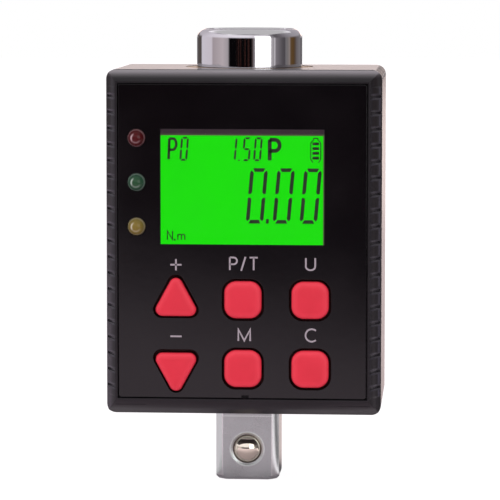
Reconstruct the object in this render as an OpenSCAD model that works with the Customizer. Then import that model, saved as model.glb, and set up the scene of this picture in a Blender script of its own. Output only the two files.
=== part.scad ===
// Digital torque adapter: a square-drive shaft with strain gauges, carried in a two-part
// case with a display, three lamps and six keys.
// The origin is the centre of the male square's end face. +Z runs up the shaft to the
// female square, and the front panel faces -Y.

/* [Square drive] */
// Male square across its flats
drive_af = 12.7; // [12.3:0.1:13.2]
// Length of the male square below the case
drive_len = 15; // [13:0.1:18]
// How much wider the male square's turned corners are than its flats
drive_turn = 3.5; // [2.9:0.1:4.1]
// Height of the bevel round the male square's end
drive_tip = 0.9; // [0.4:0.1:1.4]
// Clearance on each side of the female square
socket_clear = 0.1; // [0.05:0.05:0.2]
// Depth of the female square
socket_depth = 16; // [14:0.5:18]
// Depth of the lead-in at the mouth of the female square
socket_lead = 0.8; // [0.3:0.1:1]
// Depth of the detent groove in the female square's flats
socket_groove_t = 1.15; // [0.95:0.05:1.5]
// Height of the detent groove
socket_groove_h = 3.6; // [3:0.1:4.5]
// Wall of the head at the female square's corners
head_wall = 1.48; // [1.3:0.02:1.9]
// Height of the head above the case
head_out = 7.7; // [6:0.1:10]
// Radius of the head's rounded top edge
head_fillet = 1.8; // [0.8:0.1:2]
// Length of the head inside the case
head_in = 21; // [19:0.5:23]
// Step from the turned corners to the lower journal
neck_step = 0.7; // [0.4:0.1:1]
// Height of the journal's shoulder below the case
neck_out = 0.8; // [0.4:0.1:1.2]
// Diameter of the measuring section
torsion_d = 13; // [12:0.1:14]
// Gap between the shaft's square flange and the battery bays
flange_gap = 0.3; // [0.3:0.05:0.5]
// How much wider the flange's turned corners are than its flats
flange_turn = 3.8; // [2.8:0.1:4.8]
// Thickness of the flange
flange_t = 2.5; // [2:0.1:3]

/* [Detent ball] */
// Diameter of the ball
ball_d = 6.35; // [5.8:0.05:6.6]
// Height of the ball's centre above the end face
ball_z = 6.25; // [5:0.25:7.5]
// How much smaller the staked mouth's radius is than the ball's
ball_lip = 0.325; // [0.275:0.025:0.45]
// Width of the staking bevel round the mouth
ball_stake_w = 0.55; // [0.4:0.05:0.7]
// How far the ball pushes in
ball_travel = 1.2; // [1:0.1:1.3]
// Clearance of the ball in its bore
ball_clear = 0.07; // [0.05:0.01:0.1]
// Depth of the ball's bore below the flat
ball_bore_depth = 9; // [8.5:0.1:10]
// Wire of the detent spring
ball_wire = 0.6; // [0.5:0.05:0.7]
// Outer diameter of the detent spring
ball_spring_d = 4.6; // [4:0.1:5]

/* [Case] */
// Width of the front panel's recess
panel_w = 49.2; // [48.6:0.2:54]
// Height of the front panel's recess
panel_h = 62.2; // [61.6:0.2:66]
// Wall of the case between the upper bush and the board
block_wall = 1.8; // [1.6:0.1:3]
// Width of the bevel at each side
bevel_side = 2.6; // [2.4:0.1:3.2]
// Width of the bevel at the top
bevel_top = 2.5; // [2.4:0.1:3.2]
// Width of the bevel at the bottom
bevel_bottom = 3.5; // [2.6:0.1:3.6]
// Depth of the bevel
bevel_depth = 4.4; // [4:0.1:5]
// Width of the flat lip between bevel and panel
lip_w = 0.35; // [0.3:0.05:0.5]
// Radius of the case's corners
corner_r = 2; // [1.5:0.1:2.4]
// Thickness of the case's walls
wall = 2.2; // [2:0.1:2.4]
// Bevel round the back face
back_bevel = 1.2; // [0.6:0.1:1.4]
// Gap round the head and the journal where they leave the case
shaft_gap = 0.4; // [0.3:0.05:0.6]
// Number of grip grooves on each side
groove_count = 19; // [9:2:19]
// Distance of the end grooves from the panel's edges
groove_end = 2.48; // [2:0.04:6]
// Width of a groove
groove_w = 0.5; // [0.3:0.05:0.8]
// Depth of a groove
groove_depth = 0.35; // [0.2:0.05:0.5]

/* [Front panel] */
// Thickness of the front panel
panel_t = 1.4; // [1.2:0.1:1.6]
// Gap between the panel and its recess
panel_gap = 0.3; // [0.1:0.05:0.3]
// Height of the panel above the display window
window_top = 9.05; // [8:0.05:12]
// Distance from the upper key row to the window's lower edge
window_gap = 10.85; // [10:0.05:13]
// Thickness of the window's front edge
window_lip = 0.6; // [0.5:0.05:0.7]
// Thickness of the clear window
window_t = 1; // [0.9:0.05:1.1]
// How far the clear window reaches behind the panel on each side
window_rebate = 1.2; // [0.8:0.1:1.4]
// Diameter of an indicator lamp
lamp_d = 3.5; // [3:0.1:3.8]
// Gap between a lamp's flange and the display's frame
lamp_room = 0.85; // [0.5:0.05:1.2]
// Distance from lamp to lamp
lamp_pitch = 8.7; // [8:0.1:9]
// Height of the middle lamp above the window's middle
lamp_rise = 0.85; // [0:0.05:1.5]
// Height of a lamp in front of the panel
lamp_out = 1.4; // [1:0.1:1.75]

/* [Keys] */
// Width of a square key
key_w = 7.5; // [6.8:0.1:7.8]
// Corner radius of a square key
key_r = 2.3; // [1.6:0.1:2.8]
// Width of a triangular key
arrow_w = 8.25; // [7.6:0.05:8.6]
// Height of a triangular key
arrow_h = 7.8; // [7:0.1:8]
// Corner radius of a triangular key
arrow_r = 1.3; // [1:0.1:1.6]
// Distance between key columns
key_pitch_x = 13.2; // [12.4:0.1:13.4]
// Distance between key rows
key_pitch_z = 13.6; // [12.4:0.1:13.8]
// Height of the panel below the keys
key_margin = 1.6; // [1.4:0.1:2.4]
// How far a key stands in front of the panel
key_out = 0.8; // [0.8:0.05:1.1]
// How far a key pushes in
key_travel = 0.8; // [0.5:0.05:0.8]
// Gap round a key in the panel
key_gap = 0.4; // [0.3:0.05:0.5]
// Width of a key's hidden rim
key_rim = 0.7; // [0.6:0.05:0.9]
// Diameter of a key's plunger
key_plunger_d = 4.6; // [4:0.1:5]

/* [Board and display] */
// Thickness of the circuit board
board_t = 1.6; // [1.4:0.1:1.8]
// Thickness of the display's glass
glass_t = 1.8; // [1.6:0.1:1.9]
// Thickness of the keypad mat
mat_t = 1; // [0.8:0.05:1]
// Wall of the display frame
frame_wall = 1; // [0.8:0.05:1.2]
// Diameter of the alarm buzzer
buzzer_d = 12; // [10:0.5:13]
// Height of the alarm buzzer
buzzer_h = 3.2; // [2.5:0.1:4]

/* [Batteries] */
// Diameter of a cell
cell_d = 10.5; // [10.2:0.05:10.6]
// Length of a cell with its button
cell_len = 44.5; // [43.5:0.1:44.6]
// Clearance round a cell
cell_gap = 0.35; // [0.3:0.05:0.4]
// Wall of a battery bay
bay_wall = 1; // [0.9:0.05:1.1]
// Space for the contact spring between a cell and its terminal
cell_spring_h = 2.7; // [2.5:0.1:2.8]
// Thickness of a battery terminal
terminal_t = 0.4; // [0.3:0.05:0.5]
// Thickness of the battery door
door_t = 1.6; // [1.5:0.05:1.8]
// Gap round the battery door
door_gap = 0.3; // [0.25:0.05:0.4]

/* [Fasteners and bushes] */
// Wall of the upper bush
upper_bush_wall = 1.5; // [1.2:0.05:1.6]
// How far the upper bush's flange reaches past its wall
bush_flange_w = 0.75; // [0.5:0.05:0.9]
// Wall of the lower bush
lower_bush_wall = 2.4; // [1.8:0.1:2.8]
// Diameter of a housing screw's thread
housing_screw_d = 2.5; // [2.2:0.1:3]
// Length of a housing screw under its head
housing_screw_len = 16; // [13:0.5:18]
// Diameter of a board screw's thread
board_screw_d = 2; // [1.6:0.1:2.2]
// Diameter of a door screw's thread
door_screw_d = 2; // [1.8:0.1:2.2]

/* [Hidden] */
$fn = 64;

// Overrun of a cut past the face that it opens
cut = 1;
// Overlap that joins two solids of one piece
bond = 0.2;
// Gap between neighbouring pieces that only lie beside each other
seat_gap = 0.1;

// Square drive and its bushes
drive_turned_d = drive_af + drive_turn;
socket_af = drive_af + 2 * socket_clear;
socket_groove_d = socket_af + 2 * socket_groove_t;
socket_drill_depth = 1.5;
socket_drill_step = 1;
head_d = socket_af * sqrt(2) + 2 * head_wall;
neck_d = drive_turned_d + 2 * neck_step;
upper_bush_r = head_d / 2 + upper_bush_wall;
lower_bush_r = neck_d / 2 + lower_bush_wall;
bush_fit = 0.05;
bush_lip = 0.8;
bush_sink = 0.1;
bush_flange_t = 1;
bush_flange_r = upper_bush_r + bush_flange_w;

// Stack behind the front panel, from front to back
ledge_t = 2.2;
ledge_w = 1.3;
pad_t = 1.6;
block_gap = 0.3;
stack_t = panel_t + ledge_t + pad_t + board_t;
front_y = -(upper_bush_r + block_wall + block_gap + stack_t);
panel_back_y = front_y + panel_t;
ledge_back_y = panel_back_y + ledge_t;
board_y0 = ledge_back_y + pad_t;
board_y1 = board_y0 + board_t;
block_y0 = board_y1 + block_gap;

// Battery bays, either side of the head
bay_gap = 0.3;
tub_gap = 0.8;
bay_room = 1.4;
bay_floor_y0 = 0.2;
bay_floor_y1 = bay_floor_y0 + bay_wall;
cell_r = cell_d / 2;
cell_y = bay_floor_y1 + cell_gap + cell_r;
cell_room = 0.85;
door_y0 = cell_y + cell_r + cell_room + seat_gap;
case_back = door_y0 + door_t;
bay_x0 = head_d / 2 + tub_gap + bay_wall;
bay_x1 = bay_x0 + cell_d + 2 * cell_gap;
cell_x = (bay_x0 + bay_x1) / 2;
bay_len = cell_len + cell_spring_h + 2 * terminal_t;
button_d = 3.8;
button_h = 0.8;
cell_wire = 0.5;
spring_foot_in = 1.45;
spring_top_in = 3.05;
spring_foot_r = cell_r - spring_foot_in;
spring_top_r = cell_r - spring_top_in;
terminal_side = 0.75;
terminal_w = cell_d - 2 * terminal_side;
terminal_front = 1;
terminal_h = cell_d - terminal_front;

// The case is as wide and as high as its panel or its batteries need
block_low_h = 5.4;
block_high_h = 7.6;
need_w = 2 * (bay_x1 + bay_room + wall);
need_h = 2 * (wall + bay_gap + bay_wall) + block_low_h + bay_len + block_high_h;
case_w = max(panel_w + 2 * bevel_side, need_w);
case_h = max(panel_h + bevel_bottom + bevel_top, need_h);
case_z0 = drive_len;
case_z1 = case_z0 + case_h;
panel_z0 = case_z0 + bevel_bottom;
panel_z1 = panel_z0 + panel_h;
inner_w = case_w - 2 * wall;
inner_z0 = case_z0 + wall;
inner_z1 = case_z1 - wall;
head_z0 = case_z1 - head_in;
head_z1 = case_z1 + head_out;
groove_drop = 0.2;
groove_pitch = (panel_h - 2 * groove_end) / (groove_count - 1);
groove_z = (panel_z0 + panel_z1) / 2 - groove_drop;
block_low_z1 = inner_z0 + block_low_h;
bay_z0 = block_low_z1 + bay_gap + bay_wall;
bay_z1 = bay_z0 + bay_len;
tub_z0 = bay_z0 - bay_wall;
tub_z1 = bay_z1 + bay_wall;
block_high_z0 = tub_z1 + bay_gap;
block_side_gap = 2.5;
block_side_y0 = board_y1 + block_side_gap;
block_mid_wall = 3.9;
block_mid_w = 2 * (upper_bush_r + block_mid_wall);
back_web_t = 1.6;
back_inner_y = door_y0 - seat_gap - back_web_t;

// Shaft
flange_af = 2 * (bay_x0 - bay_wall - flange_gap);
flange_turned_d = flange_af + flange_turn;
flange_z0 = block_low_z1 + seat_gap;
flange_z1 = flange_z0 + flange_t;
web_gap = 0.3;
web_t = 1.5;
socket_z0 = head_z1 - socket_depth;
ball_r = ball_d / 2;
ball_mouth_r = ball_r - ball_lip;
ball_stake_r = ball_mouth_r + ball_stake_w;
ball_bore_r = ball_r + ball_clear;
drive_y = -drive_af / 2;
stake_depth = 0.25;
mouth_y1 = drive_y + 2 * stake_depth;
mouth_fit = 0.04;
ball_y = mouth_y1 + sqrt(pow(ball_r, 2) - pow(ball_mouth_r - mouth_fit, 2));
ball_bore_y1 = drive_y + ball_bore_depth;
spring_fit = 0.05;
spring_rest = 0.3;
gauge_w = 6;
gauge_h = 9;
gauge_t = 0.2;
flat_cut = 0.6;
flat_w = 8;
flat_h = 14;
gauge_z = (flange_z1 + head_z0) / 2;
flat_y = torsion_d / 2 - flat_cut;

// Battery door
door_margin = 0.7;
door_over = 1.4;
door_w = 2 * (bay_x1 + door_margin - door_gap);
door_z0 = bay_z0 - door_over;
door_z1 = bay_z1 + door_over;
door_h = door_z1 - door_z0;
door_z = (door_z0 + door_z1) / 2;
door_r = 1.5;
door_screw_head_r = 1.9;
door_screw_head_h = 1.1;
door_screw_len = 3.6;
door_boss_r = 2.8;
door_boss_gap = 1.2;
door_boss_floor = 0.4;
door_boss_y0 = torsion_d / 2 + door_boss_gap;
door_screw_z1 = head_z0 - door_boss_gap - door_boss_r;
door_screw_z = [2 * door_z - door_screw_z1, door_screw_z1];

// Screws
housing_head_r = 2.4;
housing_head_h = 2;
housing_sink = 2.6;
housing_land = 0.5;
housing_head_y = case_back - housing_sink;
housing_screw_in = 4.4;
housing_screw_x = inner_w / 2 - housing_screw_in;
housing_screw_off = door_gap + housing_land + housing_head_r + seat_gap;
housing_screw_z = [door_z0 - housing_screw_off, door_z1 + housing_screw_off];
thread_fit = 0.05;
slot_w = 0.5;
slot_depth = 0.6;
slot_share = 0.6;

// Board
board_side_gap = 1;
board_low_gap = 2.1;
board_high_gap = 1.3;
board_w = inner_w - 2 * board_side_gap;
board_z0 = inner_z0 + board_low_gap;
board_z1 = inner_z1 - board_high_gap;
board_screw_in = 2.2;
board_screw_x = board_w / 2 - board_screw_in;
board_screw_z = [board_z0 + board_screw_in, board_z1 - board_screw_in];
board_head_r = 1.8;
board_head_h = 1.3;
board_screw_len = 4.6;
pad_w = 5;

// Lamps and display
lamp_gap = 0.1;
lamp_flange_w = 0.4;
lamp_flange_r = lamp_d / 2 + lamp_flange_w;
lamp_flange_h = 1;
lamp_edge = 0.35;
lamp_stand = 1.2;
lamp_lead_r = 0.25;
lamp_lead_x = 1.27;
lamp_x = panel_w / 2 - ledge_w - lamp_edge - lamp_flange_r;
lamp_front_y = front_y - lamp_out;
lamp_base_y = board_y0 - lamp_stand;
glass_edge = 0.65;
frame_r = lamp_x - lamp_flange_r - lamp_room;
window_w = 2 * (frame_r - frame_wall - seat_gap - glass_edge);
arrow_lift = 0.6;
key_up = key_margin + arrow_h / 2 + arrow_lift;
window_h = panel_h - window_top - window_gap - key_up - key_pitch_z;
window_z = panel_z1 - window_top - window_h / 2;
window_y0 = front_y + window_lip;
window_y1 = window_y0 + window_t;
window_gap_side = 0.2;
window_side = window_rebate - window_gap_side;
glass_y0 = window_y1 + 2 * seat_gap;
glass_y1 = glass_y0 + glass_t;
backlight_y0 = glass_y1 + seat_gap;
glass_w = window_w + 2 * glass_edge;
glass_h = window_h + 2 * glass_edge;
lamp_z = function (place) window_z + lamp_rise + place * lamp_pitch;

// Keys: column, row and outline of each, counted from the middle column and the lower row
KEY_TABLE = [
  [-1, 1, "up"], [-1, 0, "down"], [0, 1, "square"],
  [1, 1, "square"], [0, 0, "square"], [1, 0, "square"]
];
key_offset = 0.15;
key_x = function (column) key_offset + column * key_pitch_x;
key_z = function (row) panel_z0 + key_up + row * key_pitch_z;
key_front_y = front_y - key_out;
key_rim_gap = 0.4;
key_rim_t = 1;
key_rim_room = 0.3;
key_rest = 0.3;
key_rim_y0 = panel_back_y + key_rim_gap;
key_rim_y1 = key_rim_y0 + key_rim_t;
key_end_y = board_y0 - key_travel - key_rest;
mat_y0 = board_y0 - mat_t;
mat_side = 2;
mat_top_gap = 1;
mat_w = 2 * (key_pitch_x + arrow_w / 2 + key_rim + mat_side);
mat_z0 = board_z0 + seat_gap;
mat_z1 = window_z - glass_h / 2 - frame_wall - mat_top_gap;
plunger_gap = 0.35;

// Pieces on the back of the board
processor_w = 10;
processor_t = 1.4;
processor_x = -8;
amplifier_w = 5;
amplifier_h = 4;
amplifier_t = 1.4;
amplifier_x = 9;
connector_w = 7;
connector_h = 3;
connector_t = 3;
connector_drop = 6;
connector_z = gauge_z - connector_drop;
cable_w = 5;
cable_t = 0.6;
cable_top = 2;
cable_y = -flat_y - gauge_t;
lead_r = 0.6;
lead_hole_r = 0.8;
lead_end = 0.2;
lead_z = bay_z1 - terminal_t - lead_r - seat_gap / 2;
buzzer_drop = 4.1;
buzzer_in = 2;
buzzer_hole_r = 1;
buzzer_hole_depth = 1;
buzzer_x = cell_x - buzzer_in;
buzzer_z = lead_z - lead_r - buzzer_drop - buzzer_d / 2;

// Draws a flat shape in the XZ plane and gives it depth from y0 back to y1
module slab(y0, y1) {
  translate([0, y1, 0]) rotate([90, 0, 0]) linear_extrude(y1 - y0) children();
}

// A cylinder along Y from y0 to y1
module rod(r, y0, y1, x = 0, z = 0, r_back = undef) {
  back = is_undef(r_back) ? r : r_back;
  translate([x, y0, z]) rotate([-90, 0, 0]) cylinder(r1 = r, r2 = back, h = y1 - y0);
}

// A box from its low corner to its high corner
module block(low, high) {
  translate(low) cube(high - low);
}

function unit(v) = v / norm(v);
function outward(a, b) = let (d = unit(b - a)) [d[1], -d[0]];

// A convex outline, drawn counterclockwise through its corner centres, with round corners
module round_outline(centres, r) {
  n = len(centres);
  edge = [
    for (i = [0 : n - 1])
      let (a = centres[i], b = centres[(i + 1) % n], out = outward(a, b) * r)
        each [a + out, b + out]
  ];
  polygon(edge);
  for (c = centres) translate(c) circle(r);
}

module round_rect(w, h, r) {
  x = w / 2 - r;
  z = h / 2 - r;
  round_outline([[-x, -z], [x, -z], [x, z], [-x, z]], r);
}

// Corner centres of a round-cornered triangle that points up, or down with turn = -1
function arrow_centres(turn) =
  let (x = arrow_w / 2 - arrow_r, z = arrow_h / 2 - arrow_r)
    turn > 0 ? [[-x, -z], [x, -z], [0, z]] : [[x, z], [-x, z], [0, -z]];

// A coil of round wire along +Z, whose radius may change from its foot to its top
module coil(r0, r1, wire, height, turns) {
  sides = 6;
  steps = 12;
  last = turns * steps;
  rise = height - wire;
  points = [
    for (i = [0 : last])
      let (share = i / last, turn = 360 * i / steps, r = r0 + (r1 - r0) * share,
           middle_z = wire / 2 + rise * share)
        for (k = [0 : sides - 1])
          let (a = 360 * k / sides, out = r + wire / 2 * cos(a))
            [out * cos(turn), out * sin(turn), middle_z + wire / 2 * sin(a)]
  ];
  walls = [
    for (i = [0 : last - 1], k = [0 : sides - 1])
      let (a = i * sides + k, b = i * sides + (k + 1) % sides)
        each [[a, b + sides, b], [a, a + sides, b + sides]]
  ];
  foot = [for (k = [1 : sides - 2]) [0, k, k + 1]];
  top = [for (k = [1 : sides - 2]) [last * sides, last * sides + k + 1, last * sides + k]];
  polyhedron(points, concat(walls, foot, top));
}

// The case's outside between two depths, with the front and back bevels cut away
module case_body(y0, y1) {
  half_w = case_w / 2;
  difference() {
    translate([0, 0, (case_z0 + case_z1) / 2])
      slab(y0, y1) round_rect(case_w, case_h, corner_r);
    for (side = [-1, 1]) {
      translate([side * half_w, 0, 0]) on_side(side)
        bevel_wedge(bevel_side - lip_w, case_z0 - cut, case_z1 + cut);
    }
    end_wedge(bevel_top - lip_w, case_z1, 1);
    end_wedge(bevel_bottom - lip_w, case_z0, -1);
  }
}

// Mirrors a piece to the -X side when side is negative
module on_side(side) {
  if (side < 0) mirror([1, 0, 0]) children();
  else children();
}

// What the front and back bevels take off one side, between two heights
module bevel_wedge(w, z0, z1) {
  translate([0, 0, z0]) linear_extrude(z1 - z0) {
    polygon([[-w, front_y - cut], [-w, front_y], [0, front_y + bevel_depth], [cut, front_y + bevel_depth],
             [cut, front_y - cut]]);
    polygon([[0, case_back - back_bevel], [-back_bevel, case_back], [-back_bevel, case_back + cut],
             [cut, case_back + cut], [cut, case_back - back_bevel]]);
  }
}

// The same for the top (way 1) or the bottom (way -1)
module end_wedge(w, z, way) {
  half = case_w / 2 + cut;
  translate([-half, 0, z]) rotate([90, 0, 90]) linear_extrude(2 * half) {
    polygon([[front_y - cut, -way * w], [front_y, -way * w], [front_y + bevel_depth, 0],
             [front_y + bevel_depth, way * cut], [front_y - cut, way * cut]]);
    polygon([[case_back - back_bevel, 0], [case_back, -way * back_bevel],
             [case_back + cut, -way * back_bevel], [case_back + cut, way * cut],
             [case_back - back_bevel, way * cut]]);
  }
}

// One grip groove across the right bevel, centred on a height
module grip_groove(z) {
  start = [case_w / 2 - bevel_side + lip_w, front_y];
  end = [case_w / 2, front_y + bevel_depth];
  along = unit(end - start);
  inward = [-along[1], along[0]];
  margin = 0.4;
  a = start + along * margin;
  b = end - along * margin;
  translate([0, 0, z - groove_w / 2]) linear_extrude(groove_w)
    polygon([a - inward * cut, b - inward * cut, b + inward * groove_depth, a + inward * groove_depth]);
}

module grip_grooves() {
  for (i = [0 : groove_count - 1]) {
    z = groove_z + (i - (groove_count - 1) / 2) * groove_pitch;
    grip_groove(z);
    mirror([1, 0, 0]) grip_groove(z);
  }
}

// The holes where the shaft passes the case, and the seats of its bushes
module shaft_passage() {
  translate([0, 0, case_z0 - cut]) cylinder(d = neck_d + 2 * shaft_gap, h = wall + 2 * cut);
  translate([0, 0, inner_z0]) cylinder(r = lower_bush_r + bush_fit, h = block_low_z1 - inner_z0 + cut);
  translate([0, 0, block_high_z0 - cut])
    cylinder(d = head_d + 2 * shaft_gap, h = case_z1 - block_high_z0 + 2 * cut);
  translate([0, 0, block_high_z0 + bush_lip])
    cylinder(r = upper_bush_r + bush_fit, h = case_z1 - block_high_z0 - bush_lip + cut);
  flange_seat = bush_flange_t + bush_sink + seat_gap;
  translate([0, 0, case_z1 - flange_seat]) cylinder(r = bush_flange_r + bush_fit, h = flange_seat + cut);
}

module housing_screw_places() {
  for (x = [-housing_screw_x, housing_screw_x], z = housing_screw_z) translate([x, 0, z]) children();
}

module board_screw_places() {
  for (x = [-board_screw_x, board_screw_x], z = board_screw_z) translate([x, 0, z]) children();
}

module front_shell() {
  half_in = inner_w / 2;
  opening_w = panel_w - 2 * ledge_w;
  color("#262326") difference() {
    union() {
      difference() {
        case_body(front_y, 0);
        block([-half_in, ledge_back_y, inner_z0], [half_in, cut, inner_z1]);
        block([-opening_w / 2, front_y, panel_z0 + ledge_w], [opening_w / 2, 0, panel_z1 - ledge_w]);
      }
      for (z = [[inner_z0 - bond, block_low_z1], [block_high_z0, inner_z1 + bond]]) {
        block([-block_mid_w / 2, block_y0, z[0]], [block_mid_w / 2, 0, z[1]]);
        block([-half_in - bond, block_side_y0, z[0]], [half_in + bond, 0, z[1]]);
      }
      board_pads();
    }
    block([-panel_w / 2, front_y - cut, panel_z0], [panel_w / 2, panel_back_y, panel_z1]);
    for (key = KEY_TABLE) translate([key_x(key[0]), 0, key_z(key[1])])
      slab(panel_back_y - bond, ledge_back_y + bond) key_outline(key[2], key_rim + key_rim_room);
    grip_grooves();
    shaft_passage();
    housing_screw_places()
      rod(housing_screw_d / 2 + thread_fit, housing_head_y - housing_screw_len - cut, cut);
    board_screw_places()
      rod(board_screw_d / 2 + thread_fit, board_y1 - board_screw_len - thread_fit, board_y0 + cut);
  }
}

// The four corner pads that the board is screwed to
module board_pads() {
  for (x = [-1, 1], z = [-1, 1]) {
    corner = [x * inner_w / 2, z > 0 ? inner_z1 : inner_z0];
    far_x = x * (board_w / 2 - pad_w);
    far_z = z > 0 ? board_z1 - pad_w : board_z0 + pad_w;
    edge = corner + bond * [x, z];
    block([min(edge[0], far_x), panel_back_y, min(edge[1], far_z)],
          [max(edge[0], far_x), board_y0, max(edge[1], far_z)]);
  }
}

module back_shell() {
  half_in = inner_w / 2;
  color("#2a272a") difference() {
    union() {
      difference() {
        case_body(0, case_back);
        block([-half_in, -cut, inner_z0], [half_in, back_inner_y, inner_z1]);
      }
      for (z = [[inner_z0 - bond, block_low_z1], [block_high_z0, inner_z1 + bond]])
        block([-half_in - bond, 0, z[0]], [half_in + bond, back_inner_y + bond, z[1]]);
      for (side = [-1, 1]) on_side(side)
        block([bay_x0 - bay_wall, bay_floor_y0, tub_z0], [half_in + bond, back_inner_y + bond, tub_z1]);
      block([-bay_x0, bay_floor_y0, flange_z1 + web_gap],
            [bay_x0, back_inner_y + bond, flange_z1 + web_gap + web_t]);
      for (z = door_screw_z) rod(door_boss_r, door_boss_y0, back_inner_y + bond, 0, z);
    }
    for (side = [-1, 1]) on_side(side)
      block([bay_x0, bay_floor_y1, bay_z0], [bay_x1, case_back + cut, bay_z1]);
    translate([0, 0, door_z]) slab(door_y0 - seat_gap, case_back + cut)
      round_rect(door_w + 2 * door_gap, door_h + 2 * door_gap, door_r + door_gap);
    shaft_passage();
    translate([0, 0, flange_z1]) cylinder(d = torsion_d + 2 * shaft_gap, h = web_gap + web_t + cut);
    for (z = door_screw_z)
      rod(door_screw_d / 2 + thread_fit, door_boss_y0 + door_boss_floor, case_back, 0, z);
    housing_screw_places() {
      rod(housing_screw_d / 2 + thread_fit, -cut, case_back);
      rod(housing_head_r + seat_gap, housing_head_y, case_back + cut);
    }
    for (side = [-1, 1]) on_side(side) lead_hole();
  }
}

// Where a battery lead passes the floor of its bay
module lead_hole() {
  rod(lead_hole_r, bay_floor_y0 - cut, bay_floor_y1 + cut, cell_x, lead_z);
}

module front_panel() {
  w = panel_w - 2 * panel_gap;
  h = panel_h - 2 * panel_gap;
  panel_r = 0.5;
  notch_w = 1.4;
  notch_h = 0.5;
  notch_x = 0.6;
  color("#1a171a") difference() {
    translate([0, 0, panel_z0 + panel_h / 2]) slab(front_y, panel_back_y) round_rect(w, h, panel_r);
    block([-window_w / 2, front_y - cut, window_z - window_h / 2],
          [window_w / 2, 0, window_z + window_h / 2]);
    block([-window_w / 2 - window_rebate, window_y0, window_z - window_h / 2 - window_rebate],
          [window_w / 2 + window_rebate, 0, window_z + window_h / 2 + window_rebate]);
    for (place = [-1 : 1]) rod(lamp_d / 2 + lamp_gap, front_y - cut, 0, -lamp_x, lamp_z(place));
    for (key = KEY_TABLE) translate([key_x(key[0]), 0, key_z(key[1])])
      slab(front_y - cut, 0) key_outline(key[2], key_gap);
    block([notch_x - notch_w / 2, front_y - cut, panel_z0],
          [notch_x + notch_w / 2, 0, panel_z0 + panel_gap + notch_h]);
  }
}

module display_window() {
  half_w = window_w / 2 + window_side;
  half_h = window_h / 2 + window_side;
  color("#d8e6e0", 0.4)
    block([-half_w, window_y0, window_z - half_h], [half_w, window_y1, window_z + half_h]);
}

module lcd_glass() {
  color("#26e214")
    block([-glass_w / 2, glass_y0, window_z - glass_h / 2],
          [glass_w / 2, glass_y1, window_z + glass_h / 2]);
}

module lcd_backlight() {
  color("#c8f5b8")
    block([-glass_w / 2, backlight_y0, window_z - glass_h / 2],
          [glass_w / 2, board_y0, window_z + glass_h / 2]);
}

module lcd_frame() {
  half_w = glass_w / 2 + seat_gap;
  half_h = glass_h / 2 + seat_gap;
  color("#3a3a3c") difference() {
    block([-half_w - frame_wall, glass_y0, window_z - half_h - frame_wall],
          [half_w + frame_wall, board_y0, window_z + half_h + frame_wall]);
    block([-half_w, front_y, window_z - half_h], [half_w, 0, window_z + half_h]);
  }
}

module circuit_board() {
  color("#1f6b3a") difference() {
    block([-board_w / 2, board_y0, board_z0], [board_w / 2, board_y1, board_z1]);
    board_screw_places() rod(board_screw_d / 2 + seat_gap, board_y0 - cut, board_y1 + cut);
  }
}

module chip(w, h, t, x, z) {
  block([x - w / 2, board_y1, z - h / 2], [x + w / 2, board_y1 + t, z + h / 2]);
}

module processor_chip() {
  color("#222222") chip(processor_w, processor_w, processor_t, processor_x, window_z);
}

module amplifier_chip() {
  color("#222222") chip(amplifier_w, amplifier_h, amplifier_t, amplifier_x, gauge_z);
}

module buzzer() {
  color("#111111") difference() {
    rod(buzzer_d / 2, board_y1, board_y1 + buzzer_h, buzzer_x, buzzer_z);
    rod(buzzer_hole_r, board_y1 + buzzer_h - buzzer_hole_depth, board_y1 + buzzer_h + cut,
        buzzer_x, buzzer_z);
  }
}

module gauge_connector() {
  color("#e8e4d8") chip(connector_w, connector_h, connector_t, 0, connector_z);
}

// Flat cable: down the measuring section from the gauge, then forward to the connector
module gauge_cable() {
  far = board_y1 + connector_t;
  low = connector_z - cable_t / 2;
  top = gauge_z + cable_top;
  color("#c87838") translate([-cable_w / 2, 0, 0]) rotate([90, 0, 90]) linear_extrude(cable_w)
    polygon([[far, low], [cable_y, low], [cable_y, top], [cable_y - cable_t, top],
             [cable_y - cable_t, low + cable_t], [far, low + cable_t]]);
}

module strain_gauges() {
  color("#d0a850") for (side = [-1, 1])
    translate([-gauge_w / 2, side * (flat_y + gauge_t / 2) - gauge_t / 2, gauge_z - gauge_h / 2])
      cube([gauge_w, gauge_t, gauge_h]);
}

// Head, measuring section, flange, journal and male square in one piece
module torque_shaft() {
  color("#c9c6c8") difference() {
    union() {
      head();
      translate([0, 0, flange_z0]) cylinder(d = torsion_d, h = head_z0 - flange_z0 + bond);
      intersection() {
        translate([-flange_af / 2, -flange_af / 2, flange_z0]) cube([flange_af, flange_af, flange_t]);
        translate([0, 0, flange_z0]) cylinder(d = flange_turned_d, h = flange_t);
      }
      translate([0, 0, case_z0 - neck_out])
        cylinder(d = neck_d, h = flange_z0 - case_z0 + neck_out + bond);
      male_square();
    }
    socket_cut();
    for (side = [-1, 1]) translate([-flat_w / 2, side > 0 ? flat_y : -flat_y - cut, gauge_z - flat_h / 2])
      cube([flat_w, cut, flat_h]);
    rod(ball_bore_r, mouth_y1, ball_bore_y1, 0, ball_z);
    rod(ball_mouth_r, drive_y, mouth_y1 + cut, 0, ball_z);
    rod(ball_stake_r, drive_y, drive_y + stake_depth, 0, ball_z, ball_mouth_r);
  }
}

module head() {
  r = head_d / 2;
  inner = r - head_fillet;
  rise = head_z1 - head_z0;
  translate([0, 0, head_z0]) rotate_extrude() difference() {
    square([r, rise]);
    translate([inner, rise - head_fillet]) difference() {
      square([head_fillet + cut, head_fillet + cut]);
      circle(head_fillet);
    }
  }
}

module male_square() {
  intersection() {
    translate([-drive_af / 2, -drive_af / 2, 0]) cube([drive_af, drive_af, case_z0]);
    union() {
      cylinder(d1 = drive_turned_d - 2 * drive_tip, d2 = drive_turned_d, h = drive_tip);
      translate([0, 0, drive_tip]) cylinder(d = drive_turned_d, h = case_z0);
    }
    tip_bevels();
  }
}

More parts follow.
